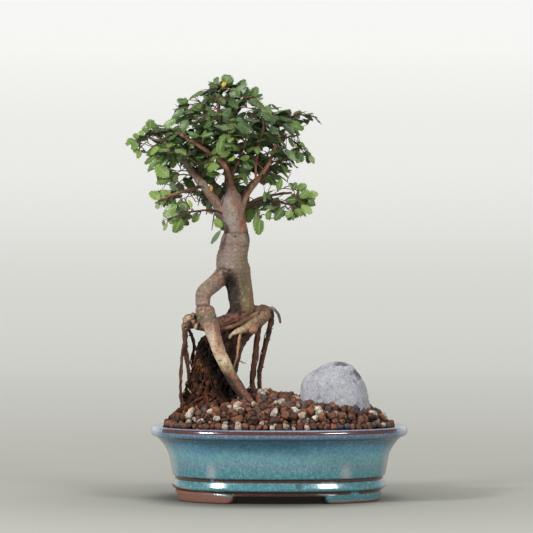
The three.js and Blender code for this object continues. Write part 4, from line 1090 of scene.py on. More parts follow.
branchRows = {
    "leader": [(-36, 3, 234, 5.2), (-39, 6, 246, 3.4), (-41, 9, 260, 2.8), (-44, 9, 277, 2.2), (-47, 5, 294, 1.7),
               (-47, 0, 309, 1.2), (-49, -2, 319, 0.9)],
    "leaderLeft": [(-46, 7, 284, 1.6), (-53, 3, 295, 1.3), (-57, -1, 309, 0.9)],
    "leaderRight": [(-46, 5, 290, 1.6), (-41, 2, 302, 1.3), (-36, -2, 315, 0.9)],
    "leftMain": [(-39, 0, 216, 4.4), (-48, -2, 229, 4.1), (-57, -6, 241, 3.5), (-66, -10, 252, 2.9), (-76, -13, 265, 2.1),
                 (-88, -16, 276, 1.3), (-98, -18, 279, 0.9)],
    "leftMiddle": [(-59, -7, 243, 1.8), (-69, -14, 240, 1.6), (-81, -23, 236, 1.3), (-95, -30, 229, 0.9)],
    "leftLow": [(-40, -1, 221, 1.6), (-54, -12, 224, 1.2), (-69, -27, 222, 1), (-84, -40, 217, 0.9)],
    "centreMain": [(-33, -5, 212, 2.6), (-33, -8, 226, 2.7), (-36, -12, 241, 2.4), (-40, -17, 255, 2.2),
                   (-50, -26, 266, 2), (-62, -34, 273, 1.7), (-75, -41, 281, 1.1)],
    "centreRiser": [(-38, -14, 247, 1.3), (-32, -21, 260, 1.1), (-27, -28, 272, 1), (-24, -32, 287, 0.9)],
    "rightMain": [(-30, -3, 223, 2.8), (-25, -6, 236, 2.3), (-17, -8, 247, 2), (-9, -10, 259, 1.7), (-4, -8, 270, 1.4),
                  (0, -3, 288, 0.9)],
    "rightRiser": [(-18, -8, 246, 1.4), (-18, -14, 258, 1.2), (-16, -20, 272, 1), (-12, -26, 288, 0.9)],
    "rightArch": [(-3, -7, 273, 1.3), (3, -4, 284, 1.1), (10, -2, 294, 1), (17, 0, 300, 0.9)],
    "rightLow": [(-31, 1, 224, 2.2), (-18, -1, 229, 1.5), (-5, -6, 231, 1.2), (8, -12, 229, 0.9)],
    "backLeft": [(-38, 4, 228, 3.4), (-48, 22, 242, 2.7), (-61, 38, 253, 2), (-78, 55, 267, 1.1)],
    "backRight": [(-33, 4, 228, 3.2), (-23, 22, 243, 2.6), (-10, 40, 255, 1.9), (6, 56, 268, 1.1)],
    "backTop": [(-40, 9, 254, 2.4), (-38, 26, 267, 1.9), (-34, 42, 281, 1.4), (-31, 50, 293, 1)],
    "backLowLeft": [(-38, 4, 224, 2), (-54, 22, 235, 1.5), (-72, 39, 240, 1.1), (-82, 47, 241, 0.9)],
    "backLowRight": [(-32, 5, 224, 2), (-17, 21, 233, 1.5), (1, 38, 238, 1.1), (10, 46, 239, 0.9)],
}

woodFinish = {
    "voxelMm": 0.74,
    "smoothing": 3,
    "toneBlend": 6,
    # how rough each limb's bark is
    "roughness": {"trunk": 0.35, "knee": 0.75, "crossRoot": 1.5, "paleRoot": 0.8, "cutStub": 0.4, "innerRoot": 1.5,
                  "rightKnob": 1.7, "backRootA": 1.0, "backRootB": 1.0, "coreRoot": 1.6},
    # the line where the knee meets the trunk, seen from the front as x and height
    "kneeSeam": [(-49.5, 175), (-47, 178), (-44, 179.2), (-41.6, 178), (-39.8, 175), (-39.4, 170), (-41.3, 165.8)],
    # knot holes and notches: x, height, radius
    "holes": [(-38.4, 177, 1.1), (-68.6, 136.6, 1.1), (-64, 141.5, 0.9), (-72.5, 133, 0.8), (-49.8, 157.4, 1.2),
              (-11.5, 147.5, 1.4), (-16, 144.5, 1.0), (-60, 147.5, 0.9), (-34, 203.5, 1.0), (-27, 144.5, 0.9)],
    # tones up each limb, by height
    "tones": {
        "trunk": [(139, "46312a"), (150, "63503a"), (163, "6d5b46"), (178, "7a6b5d"), (200, "7f7063"), (207, "84776b"),
                  (216, "948b81"), (240, "8c8076")],
        "knee": [(66, "3c1c17"), (76, "55291d"), (86, "6e3e2a"), (94, "70452f"), (98, "866346"), (102, "b59c74"),
                 (107, "d6c7a4"), (113, "c6a886"), (120, "b08a70"), (127, "a07262"), (134, "9c715d"), (139, "75674f"),
                 (143, "6a6450"), (147, "96705c"), (152, "877868"), (165, "8c766a"), (182, "84766b")],
        "crossRoot": [(128, "54352a"), (134, "7d5a44"), (139, "8f7058"), (146, "5c4636")],
        "paleRoot": [(124, "cdb78e"), (130, "cfba94"), (134, "a08a68"), (140, "86704f"), (148, "7c6850")],
        "cutStub": [(130, "8a6650")],
        "innerRoot": [(92, "3d2419"), (118, "4a2e22"), (140, "5c3c2d")],
        "rightKnob": [(140, "594335")],
        "backRootA": [(64, "5a3a28"), (100, "80644c"), (140, "84705c")],
        "backRootB": [(64, "5a3a28"), (100, "80644c"), (140, "84705c")],
        "coreRoot": [(82, "2c1a13"), (120, "35211a"), (145, "5a4034")],
        "branch": [(212, "9a8474"), (240, "8f6a58")],
    },
}


def toneAt(kind, heights):
    stops = woodFinish["tones"][kind]
    colours = np.array([tint(code) for _, code in stops])
    places = [place for place, _ in stops]
    return np.stack([np.interp(heights, places, colours[:, channel]) for channel in range(3)], axis=-1)


def makeBark(name, grooveMm, warmth, crackShadeStrength, reach=(1, 1, 0.4), dark="3a2820", pale="cfc6ba", lenticels=0.35, bands=0.0):
    material, tree, shader = newMaterial(name)
    base = stored(tree, "barkTone", colour=True)
    broad, broadHeight = grainOf(tree, 9.0, reach, 0.6, 0.36, 0.64)
    streak, streakHeight = grainOf(tree, grooveMm, reach, 0.7, 0.34, 0.66)
    fine, fineHeight = grainOf(tree, 0.8, (1, 1, 1), 0.75, 0.3, 0.7)
    darker = blendTints(tree, 0.62, base, solidTint(dark))
    lighter = blendTints(tree, 0.15, blendTints(tree, 1.0, base, solidTint("959595"), "DODGE"), solidTint(pale))
    colour = blendTints(tree, sums(tree, "MULTIPLY", broad, 0.45), base, lighter)
    colour = blendTints(tree, sums(tree, "MULTIPLY", sums(tree, "SUBTRACT", 1.0, streak), 0.6), colour, darker)
    warm, _ = grainOf(tree, 5.0, (1, 1, 1.6), 0.55, 0.5, 0.7)
    colour = blendTints(tree, sums(tree, "MULTIPLY", warm, warmth), colour, solidTint("a4694f"))
    colour = blendTints(tree, sums(tree, "MULTIPLY", fine, 0.35), colour, lighter)
    pits = scaled(tree, fineHeight, 0.48, 0.38)
    colour = blendTints(tree, sums(tree, "MULTIPLY", pits, 0.7), colour, darker)
    if bands > 0:  # small reddish bands that lie across the trunk
        band, _ = grainOf(tree, 3.4, (0.5, 0.5, 2.2), 0.6, 0.55, 0.66)
        colour = blendTints(tree, sums(tree, "MULTIPLY", band, bands), colour, solidTint("94583f"))
    dots = specksOf(tree, 2.6, 0.32, lenticels, (0.8, 0.8, 1.2))
    colour = blendTints(tree, sums(tree, "MULTIPLY", dots, 0.75), colour, solidTint("54382d"))
    scales = specksOf(tree, 2.3, 0.3, lenticels)
    colour = blendTints(tree, sums(tree, "MULTIPLY", scales, 0.45), colour, lighter)
    # painted shade in the bark's furrows, cracks and hollows, from the stored hollow value
    colour = hollowed(tree, colour, "1e1410", crackShadeStrength)
    feed(tree, shader.inputs["Base Color"], colour)
    feed(tree, shader.inputs["Roughness"], scaled(tree, fine, 0.0, 1.0, 0.66, 0.9))
    shader.inputs["Specular IOR Level"].default_value = 0.3
    lumps = bumpOf(tree, streakHeight, 0.7, 0.55)
    grit = bumpOf(tree, fineHeight, 0.22, 0.7, lumps)
    feed(tree, shader.inputs["Normal"], bumpOf(tree, dots, 0.25, 0.6, grit))
    return material


def limbSamples(limbs):  # dense places along named limbs, to say which limb a skin point belongs to
    places, ways, radii, kinds, runs = [], [], [], [], []
    names = list(limbs)
    for index, name in enumerate(names):
        line = smoothLine(limbs[name], 10)
        ahead, _, _ = lineFrames(line[:, :3])
        places.append(line[:, :3])
        ways.append(ahead)
        radii.append(line[:, 3])
        kinds.append(np.full(len(line), index))
        runs.append(np.concatenate([[0], np.cumsum(np.linalg.norm(np.diff(line[:, :3], axis=0), axis=1))]))
    return names, *(np.concatenate(parts) for parts in (places, ways, radii, kinds, runs))


def nearestLimb(points, places, radii):
    best = np.empty(len(points), np.int64)
    for start in range(0, len(points), 8000):
        part = points[start:start + 8000]
        apart = np.sqrt(np.maximum(
            (part ** 2).sum(1)[:, None] + (places ** 2).sum(1)[None] - 2 * part @ places.T, 0))
        best[start:start + 8000] = np.argmin(apart - radii[None], axis=1)
    return best


def makeTrunk():
    limbs = {"trunk": trunkRows, "knee": kneeRows, **thickRoots}
    for name in ("leader", "leftMain", "centreMain", "rightMain", "backLeft", "backRight"):
        limbs[name] = branchRows[name][:3]
    bundle = Bundle()
    lumps = lambda along, angle, radius: 1 + 0.05 * np.sin(2 * angle + along * 0.09) + 0.04 * np.sin(3 * angle - along * 0.13)
    for name, rows in limbs.items():
        points, faces, _ = tube(smoothLine(rows, 8), 28, lumps)
        bundle.add(points, faces)
    # a low swelling where the roots leave the trunk, and the brown lump below it
    for centre, reach in (((-31, 0, 141), (11, 8, 6.5)), ((-68, -5, 138), (7.5, 6, 6)), ((-56, -13, 146), (6.6, 5.8, 5.6))):
        ball, faces = ballShape(3)
        bundle.add(ball * reach + np.array(centre), [faces])
    points, faces, _ = bundle.arrays()
    draft = showPiece("wood_draft", buildMesh("wood_draft", points, faces), bpy.data.materials.new("rawWood"))
    fuse = draft.modifiers.new("fuse", "REMESH")
    fuse.mode = "VOXEL"
    fuse.voxel_size = woodFinish["voxelMm"] * 0.001
    fused = finishedMesh(draft)
    dropPiece(draft)
    edges = edgesOf(fused)
    faces = facesOf(fused)
    points = relaxed(pointsOf(fused), edges, woodFinish["smoothing"])
    bpy.data.meshes.remove(fused)

    names, places, ways, radii, kinds, runs = limbSamples(limbs)
    near = nearestLimb(points, places, radii)
    kind = kinds[near]
    way = unit(relaxed(ways[near], edges, 8))
    run = runs[near] + np.sum((points - places[near]) * ways[near], axis=1)
    x, y, z = points.T
    front = fade(6, -2, y)
    tone = np.zeros((len(points), 3))
    rough = np.zeros(len(points))
    for index, name in enumerate(names):
        chosen = kind == index
        key = name if name in woodFinish["tones"] else "branch"
        tone[chosen] = toneAt(key, z[chosen])
        rough[chosen] = woodFinish["roughness"].get(name, 0.4)
    onTrunk, onKnee, onPale, onCross = ((kind == names.index(name)).astype(float)
                                        for name in ("trunk", "knee", "paleRoot", "crossRoot"))
    rough = relaxed(rough, edges, 8)

    def stain(share, code):
        nonlocal tone
        share = np.clip(share, 0, 1)[:, None]
        tone = tone * (1 - share) + np.array(tint(code)) * share

    # the trunk: olive to the right; by the knee its inner side takes a painted near-black shade
    patches = cellNoise(points, 7.0, 33)
    stain(onTrunk * fade(-35, -22, x) * fade(208, 185, z) * 0.6, "7f6c4a")
    stain(onTrunk * fade(-33, -42, x) * fade(176, 186, z) * 0.35, "8c7d7c")
    toInner = x + 2.2 * patches + 1.2 * cellNoise(points, 2.6, 39)
    inner = onTrunk * fade(-28.5, -32.5, toInner + 0.12 * (z - 160)) * fade(180, 172, z) * fade(10, -2, y)
    mottle = np.clip(0.8 + 1.1 * layeredNoise(points, 2.4, 67, 2), 0.15, 1)
    # painted shade: the crack on the inner side by the knee goes near black, mottled
    stain(inner * 0.8, "44342a")
    stain(inner * mottle, "120c0a")
    stain(onTrunk * np.exp(-((x + 28) / 2.4) ** 2) * fade(178, 166, z) * fade(149, 156, z) * 0.7 * front, "4d5233")
    redStreak = onTrunk * np.exp(-((x + 29.0 - 0.08 * (z - 205)) / 3.4) ** 2) * fade(206, 212, z) * front
    stain(redStreak * (0.85 + 0.5 * cellNoise(points * [1, 1, 0.35], 2.2, 34)), "8c4a33")
    # the knee: reddish towards the trunk, olive in its middle, grey outside
    stain(onKnee * fade(140, 150, z) * fade(0.1, 0.6, patches) * 0.4, "946652")
    stain(onKnee * fade(140, 150, z) * fade(-0.1, -0.6, patches) * 0.6, "77765a")
    stain(onKnee * fade(-60, -65, x) * fade(140, 150, z) * 0.4, "8a7a7a")
    kneeMiddle = np.interp(z, [66, 74, 83, 93, 104, 114], [-15, -21, -28, -35, -41, -46])
    # painted shadow: the left side of the knee's lower end is near black
    stain(onKnee * fade(102, 95, z) * fade(-0.2, -1.8, x - kneeMiddle + 0.9 * patches), "120b09")
    stain(onKnee * fade(1.2, 2.6, x - kneeMiddle) * fade(92, 84, z) * 0.6, "96583c")
    speckle = cellNoise(points, 2.0, 68)
    stain(onKnee * fade(0.15, 0.5, speckle) * fade(112, 100, z) * 0.65, "2a1510")
    edgeLight = onKnee * fade(-2.6, -4.2, x - kneeMiddle) * fade(104, 110, z) * fade(136, 126, z)
    stain(edgeLight * 0.75, "dccbb2")
    # the left end of the cross root is knobbly, with painted buff highlights on its bumps and painted shade in its
    # hollows
    knob = np.exp(-(((x + 68) / 9) ** 2 + ((z - 137) / 9) ** 2) ** 2) * (1 - onKnee)
    grit = layeredNoise(points, 3.2, 35, 2)
    stain(knob * fade(0.0, 0.5, grit), "d8bd9c")
    stain(knob * fade(-0.05, -0.45, grit), "1f1510")
    stain(knob * fade(141, 146, z) * 0.7, "3c3022")
    stain(onPale * fade(-25, -20, x) * 0.75, "84694e")
    tone = relaxed(tone, edges, woodFinish["toneBlend"])

    # marks with sharper edges
    scars = onTrunk * (np.exp(-((z - 206.6 - 0.25 * np.sin(x * 0.9)) / 0.8) ** 2) * 0.85
                       + np.exp(-((z - 197.2 + 0.12 * np.maximum(x + 34, 0) - 0.3 * np.sin(x * 0.7)) / 0.7) ** 2) * 0.6)
    stain(scars, "6b3a2a")
    lump = np.exp(-(((x + 34) / 12.5) ** 2 + ((z - 139.6) / 6) ** 2) ** 2) * (y < 3) * (1 - onPale) * (1 - onKnee)
    # the brown lump is reddish, with painted shade in its dents
    stain(lump * fade(-0.7, -0.2, layeredNoise(points, 3.0, 71, 2)), "6c3223")
    stain(lump * fade(-0.1, -0.6, layeredNoise(points, 3.0, 71, 2)) * 0.8, "2a120c")
    seamLine = smoothLine([(sx, 0, sz, 0) for sx, sz in woodFinish["kneeSeam"]], 8)[:, [0, 2]]
    toSeam = np.min(np.hypot(x[:, None] - seamLine[None, :, 0], z[:, None] - seamLine[None, :, 1]), axis=1)
    seam = np.exp(-(toSeam / 0.85) ** 2) * front
    neck = onKnee * np.exp(-((z - 150.6 - 0.14 * (x + 58)) / 0.95) ** 2) * fade(4, -4, y + 10)
    creases = onKnee * fade(0.75, 1.0, np.sin(run * 2.0 + 1.6 * cellNoise(points, 5.0, 36))) * fade(134, 142, z)
    holes = np.zeros(len(points))
    for holeX, holeZ, radius in woodFinish["holes"]:
        holes = np.maximum(holes, np.exp(-(((x - holeX) ** 2 + (z - holeZ) ** 2) / radius ** 2) ** 1.5) * front)
    # painted shade in the knee seam, the neck crease and the knot holes, and in the knee's creases
    stain(seam * 0.9 + neck * 0.85 + holes * 0.95, "1e1511")
    stain(creases * 0.5, "4a352b")
    flecks = cellNoise(points, 1.5, 73)
    stain(fade(0.42, 0.6, flecks) * fade(0.2, 0.6, rough) * 0.55, "2c1d17")
    stain(fade(-0.5, -0.7, flecks) * 0.35, "c8b8a6")
    disc = fade(3.3, 3.0, np.hypot(x + 20, z - 131)) * (y < -19.6)
    rings = 0.5 + 0.5 * np.sin(np.hypot(x + 20.4, z - 131.3) * 5.5)
    stain(disc, "a87a60")
    stain(disc * rings * 0.45, "7a4a30")

    # relief: strings along each limb, rings on the trunk, ridges on the pale root, pits and swellings
    squashed = points - way * np.sum(points * way, axis=1, keepdims=True) * 0.72
    strings = cellNoise(squashed, 1.9, 41)
    furrow = np.abs(cellNoise(squashed, 3.4, 44))
    deep = (furrow < 0.12) * (0.12 - furrow) / 0.12 * fade(0.6, 1.2, rough)
    broad = layeredNoise(points, 10.0, 47, 2)
    pits = layeredNoise(points, 2.0, 52, 2)
    relief = 0.3 * broad + rough * (0.2 * strings + 0.2 * pits) - 0.55 * deep
    relief += knob * 1.5 * grit
    relief += onTrunk * 0.12 * np.sin(z * 1.9 + 1.5 * cellNoise(points, 6, 61)) * fade(150, 175, z) * fade(215, 200, z)
    ridges = onPale * fade(-30, -24, x) * np.sin(run * 3.4)
    relief += 0.22 * ridges - 0.3 * creases
    relief -= scars * 0.45 + seam * 0.9 + neck * 0.9 + holes * 1.3
    relief -= inner * (0.9 + 0.9 * np.abs(cellNoise(points * [1, 1, 0.2], 3.0, 66)))
    relief += lump * 0.55 * layeredNoise(points, 3.0, 71, 2)
    draft = buildMesh("wood_draft", points, faces)
    normals = normalsOf(draft)
    bpy.data.meshes.remove(draft)
    moved = points + normals * relief[:, None]
    # painted shade: furrows, the inner crack and scars are darkened as hollows, and raised strings, ridges and bumps
    # are lightened
    hollow = deep * 0.8 - rough * (strings * 0.22 + pits * 0.25) + inner * 0.6 + scars * 0.3 - ridges * 0.3
    hollow -= (lump * layeredNoise(points, 3.0, 71, 2) + knob * grit) * 0.5
    # the crotch between the knee and the trunk lies in the dark
    hollow += 0.9 * np.exp(-(((x + 38.6) / 2.6) ** 2 + ((z - 168) / 6) ** 2)) * (y < 6)
    mesh = buildMesh("trunk", moved, faces, {"barkTone": tone, "hollow": np.clip(hollow, 0, 1)})
    bark = makeBark("elmBark", 2.2, 0.2, 0.9, lenticels=0.6, bands=0.28)
    showPiece("trunk_and_roots", mesh, bark, ["wood"])


def rootWave(along, angle, radius):
    return 1 + 0.10 * np.sin(along * 0.9 + 2 * angle) + 0.07 * np.sin(along * 2.3 - angle) + 0.06 * np.sin(3 * angle + along * 0.4)


def wander(rows, seed, amount, perSpan=5):  # a fine line that strays from its rows, more towards its middle
    line = smoothLine(rows, perSpan)
    loose = np.random.default_rng(seed)
    shift = loose.normal(size=(len(line), 3))
    for _ in range(2):
        shift[1:-1] = (shift[:-2] + shift[1:-1] + shift[2:]) / 3
    hold = np.sin(np.linspace(0, math.pi, len(line)))[:, None] ** 0.5
    line[:, :3] += shift * amount * hold
    return line


def makeHangingRoots():
    bundle = Bundle()
    dark, brown, pale = np.array(tint("2a1813")), np.array(tint("66392a")), np.array(tint("ab8a70"))
    for index, (name, rows) in enumerate(hangingRoots.items()):
        line = wander(rows, 100 + index, 0.35, 9)
        points, faces, along = tube(line, 16, rootWave)
        share = 0.5 + 0.5 * cellNoise(points, 5.0, 81 + index)
        tone = dark + (brown - dark) * share[:, None]
        for special, low, high in (("loopRoot", "4a3226", "86694e"), ("hookRoot", "4d4542", "8d8480")):
            if name == special:
                tone = np.array(tint(low)) + (np.array(tint(high)) - np.array(tint(low))) * share[:, None]
        hollow = np.clip(0.5 - share + 0.2 * cellNoise(points, 1.2, 90), 0, 1)
        bundle.add(points, faces, barkTone=tone, hollow=hollow)
        # rootlets cling to the hanging roots
        if name.startswith(("left", "right")):
            for k in range(5):
                own = np.array(rows, float)
                aside = draws.normal(size=(1, 3)) * [1.3, 1.3, 0]
                first = draws.integers(0, 2)
                own[first + 1:, :3] += aside
                own[:, 3] = draws.uniform(0.28, 0.5)
                fine = wander(own[first:first + 4], 200 + index * 9 + k, 1.2, 7)
                points, faces, along = tube(fine, 6, rootWave)
                mixed = brown + (pale - brown) * draws.random() * 0.6 if draws.random() < 0.5 else dark + (brown - dark) * draws.random()
                bundle.add(points, faces, barkTone=mixed, hollow=np.zeros(len(points)))
            # black crumbs of earth stick to them
            line = smoothLine(rows, 12)
            spots = line[draws.integers(0, len(line), 46)]
            centres = spots[:, :3] + unit(draws.normal(size=(46, 3))) * (spots[:, 3:4] + 0.1)
            points, faces, tone, hollow = scatterPebbles(centres, draws.uniform(0.7, 1.7, 46), 1, 300 + index, draws.random(46), 0.3)
            tones = np.array(tint("1c120e")) + (np.array(tint("5a3a2a")) - np.array(tint("1c120e"))) * tone[:, None] ** 2
            bundle.add(points, [faces], barkTone=tones, hollow=hollow)
    # the thin pale root below the cut disc, and small stray ones
    strays = [
        [(-30, -12, 129, 1.3), (-31, -13, 122, 1.0), (-32.5, -13, 112, 0.8), (-35.5, -12, 103, 0.6), (-37, -12, 97, 0.4)],
        [(-71, -6, 86, 0.5), (-67, -8, 81, 0.6), (-64.6, -10, 74, 0.6), (-63.5, -11, 66, 0.5)],
        [(-33, -12, 108, 0.4), (-29, -13, 106.5, 0.4), (-25.5, -13, 105.5, 0.3)],
        [(-20, -3, 92, 0.4), (-23, -5, 88, 0.4), (-24, -6, 84, 0.3), (-22, -6, 81, 0.3)],
        [(-66, 0, 121, 0.5), (-63.5, 0, 114, 0.5), (-64, 1, 104, 0.4), (-63, 1, 96, 0.3)],
        [(-75, -6, 92, 0.4), (-77, -7, 84, 0.4), (-76, -7, 76, 0.4), (-74, -7, 70, 0.3)],
    ]
    tones = ["b98f6c", "c09a72", "5a4a40", "2b1c17", "5c5560", "8a7058"]
    for index, (rows, code) in enumerate(zip(strays, tones)):
        points, faces, _ = tube(wander(rows, 400 + index, 0.5, 8), 8, rootWave)
        bundle.add(points, faces, barkTone=np.array(tint(code)), hollow=np.zeros(len(points)))
    points, faces, values = bundle.arrays()
    rootBark = makeBark("rootBark", 1.4, 0.18, 0.8, (1, 1, 0.5), "21140f", "b39a80", 0.15)
    showPiece("hanging_roots", buildMesh("hanging_roots", points, faces, values), rootBark, ["wood"])


makeTrunk()
print("trunk made")
makeHangingRoots()
print("hanging roots made")


# Root clump

clumpShape = {
    # height, middle x, middle y, half width, half depth
    "levels": [(58, -50, 4, 27, 25), (68, -50, 4, 26, 24), (77, -50, 3, 23.5, 22), (86, -51, 2, 19.5, 19),
               (96, -52, 1, 15.5, 15.5), (107, -53, 0, 11.5, 12), (118, -54.5, -1, 7.5, 8.5), (126, -55, -2, 4, 5)],
    "around": 130,
    "perLevel": 11,
    "fibres": 150,
    "crumbs": 900,
    "apronCrumbs": 320,
    # the painted black shadow under the front root, as two places seen from the front, and its half width
    "paintedRootShadow": ((-62, 121), (-28, 69), 6.5),
    # lit patches: x, height, radius, tone
    "patches": [(-60, 103, 5.5, "8a6038"), (-54, 77, 9.0, "7c4a32"), (-63, 88, 5.0, "745038")],
}


def makeEarth():
    material, tree, shader = newMaterial("fibrousEarth")
    tone = stored(tree, "barkTone", colour=True)
    broad, broadHeight = grainOf(tree, 5.0, (1, 1, 0.5), 0.65, 0.35, 0.65)
    fine, fineHeight = grainOf(tree, 1.2, (1, 1, 0.5), 0.75, 0.3, 0.7)
    colour = blendTints(tree, sums(tree, "MULTIPLY", broad, 0.3), tone, blendTints(tree, 1.0, tone, solidTint("b4a090"), "DODGE"))
    colour = blendTints(tree, sums(tree, "MULTIPLY", sums(tree, "SUBTRACT", 1.0, fine), 0.55), colour, solidTint("150c08"))
    # painted shade in the clump's ruts and between its crumbs
    colour = hollowed(tree, colour, "0d0806", 0.9)
    feed(tree, shader.inputs["Base Color"], colour)
    feed(tree, shader.inputs["Roughness"], scaled(tree, fine, 0.0, 1.0, 0.82, 0.97))
    shader.inputs["Specular IOR Level"].default_value = 0.2
    lumps = bumpOf(tree, broadHeight, 1.5, 0.7)
    feed(tree, shader.inputs["Normal"], bumpOf(tree, fineHeight, 0.5, 0.8, lumps))
    return material


def clumpSkin(turn, height, out=0.0):  # a place on the clump's surface at an angle and a height
    levels = np.array(clumpShape["levels"], float)
    columns = [np.interp(height, levels[:, 0], levels[:, column]) for column in range(1, 5)]
    wave = 1 + 0.06 * np.sin(5 * turn + height * 0.2) + 0.05 * np.sin(9 * turn - height * 0.27)
    x = columns[0] + np.cos(turn) * (columns[2] * wave + out)
    y = columns[1] + np.sin(turn) * (columns[3] * wave + out)
    return np.stack([x, y, height + 0 * turn], axis=-1)


def clumpTones(points, tones):  # painted shadow under the front root, painted light on the lit patches
    (x0, z0), (x1, z1), half = clumpShape["paintedRootShadow"]
    x, y, z = points.T
    along = np.clip(((x - x0) * (x1 - x0) + (z - z0) * (z1 - z0)) / ((x1 - x0) ** 2 + (z1 - z0) ** 2), 0, 1)
    away = np.hypot(x - x0 - along * (x1 - x0), z - z0 - along * (z1 - z0))
    grit = cellNoise(points, 2.4, 150)[:, None]
    for px, pz, reach, code in clumpShape["patches"]:
        share = np.exp(-(np.hypot(x - px, z - pz) / reach) ** 2)[:, None] * np.clip(0.35 + 0.9 * grit, 0, 0.8)
        tones = tones + (np.array(tint(code)) - tones) * share
    front = fade(8, 0, y)
    # painted shadow: near black along the line under the front root, on its front side
    return tones * (1 - 0.92 * np.exp(-(away / half) ** 4) * front)[:, None]


def makeClump():
    around = clumpShape["around"]
    heights = np.linspace(58, 126, 80)
    turns = np.arange(around) / around * 2 * math.pi
    stack = np.array([clumpSkin(turns, np.full(around, h)) for h in heights])
    top = stack[-1].mean(axis=0) + [0, 0, 2.5]
    rows = len(stack)
    points = np.vstack([stack.reshape(-1, 3), [top, stack[0].mean(axis=0)]])
    here = np.arange(around)
    after = np.roll(here, -1)
    fans = np.vstack([
        np.stack([np.full(around, rows * around + 1), after, here], axis=-1),
        np.stack([np.full(around, rows * around), here + (rows - 1) * around, after + (rows - 1) * around], axis=-1)])
    faces = [gridFaces(rows, around), fans]
    draft = buildMesh("clump_draft", points, faces)
    normals = normalsOf(draft)
    bpy.data.meshes.remove(draft)
    lumps = layeredNoise(points, 7.0, 111, 3)
    ruts = np.abs(cellNoise(points * [1, 1, 0.35], 3.6, 115))
    hold = fade(126, 112, points[:, 2]) * 0.6 + 0.4
    push = hold * (2.0 * lumps - 2.2 * (ruts < 0.2) * (0.2 - ruts) / 0.2 + 0.8 * cellNoise(points, 1.9, 118))
    moved = points + normals * push[:, None]
    share = np.clip(0.5 + 0.7 * cellNoise(points, 9.0, 121), 0, 1)[:, None]
    tone = np.array(tint("1d110d")) + (np.array(tint("573525")) - np.array(tint("1d110d"))) * share
    # painted shade: the deeper a point is pressed in, the darker
    hollow = np.clip(-push * 0.5 + 0.1, 0, 1)
    bundle = Bundle()
    bundle.add(moved, faces, barkTone=tone, hollow=hollow)

    # fine roots creep down it, and crumbs stick to it
    colours = [np.array(tint(code)) for code in ("2e1b14", "45291d", "643e2a", "80543a", "9c7450", "1a100c")]
    chances = np.array([0.24, 0.24, 0.2, 0.14, 0.06, 0.12])
    for index in range(clumpShape["fibres"]):
        turn = draws.uniform(0, 2 * math.pi)
        high = 60 + 66 * draws.random() ** 0.8
        low = max(57, high - draws.uniform(10, 42))
        steps = max(4, int((high - low) / 5))
        down = np.linspace(high, low, steps)
        bends = turn + np.cumsum(draws.normal(0, 0.11, steps)) + draws.normal(0, 0.3) * np.linspace(0, 1, steps)
        radius = draws.uniform(0.28, 0.85) * (1.5 if draws.random() < 0.12 else 1.0)
        skin = clumpSkin(bends, down, 0.3 + 0.9 * draws.random())
        taper = np.linspace(1, 0.6, steps) * radius
        points, tubeFaces, _ = tube(smoothLine(np.hstack([skin, taper[:, None]]), 3), 6, rootWave)
        tone = colours[draws.choice(6, p=chances)]
        bundle.add(points, tubeFaces, barkTone=tone, hollow=np.clip(0.2 + 0.4 * cellNoise(points, 2.0, 130), 0, 1))
    count = clumpShape["crumbs"]
    high = 58 + 64 * draws.random(count) ** 1.5
    centres = clumpSkin(draws.uniform(0, 2 * math.pi, count), high, 0.6)
    diameters = 1.1 + 4.2 * draws.random(count) ** 1.8
    points, crumbFaces, tone, hollow = scatterPebbles(centres, diameters, 1, 140, draws.random(count), 0.3)
    tones = np.array(tint("1a0f0b")) + (np.array(tint("84523a")) - np.array(tint("1a0f0b"))) * (tone ** 1.6)[:, None]
    bundle.add(points, [crumbFaces], barkTone=tones, hollow=hollow)
    # an apron of crumbs where it meets the soil
    count = clumpShape["apronCrumbs"]
    turns = draws.uniform(0, 2 * math.pi, count)
    out = 13 * draws.random(count) ** 1.6
    centres = clumpSkin(turns, np.full(count, 66.0), out)
    centres[:, 2] = soilHeight(centres[:, 0], centres[:, 1]) + 4.2 - 0.3 * out + draws.uniform(-1, 1.2, count)
    diameters = 1.6 + 3.2 * draws.random(count) ** 1.4
    points, crumbFaces, tone, hollow = scatterPebbles(centres, diameters, 2, 144, draws.random(count), 0.3, shaded=0.8)
    tones = np.array(tint("20110b")) + (np.array(tint("74401f")) - np.array(tint("20110b"))) * (tone ** 1.8)[:, None]
    bundle.add(points, [crumbFaces], barkTone=tones, hollow=hollow)
    points, faces, values = bundle.arrays()
    values["barkTone"] = clumpTones(points, values["barkTone"])
    showPiece("root_cone", buildMesh("root_cone", points, faces, values), makeEarth(), ["root_clump"])


makeClump()
print("root clump made")


# Branches and twigs

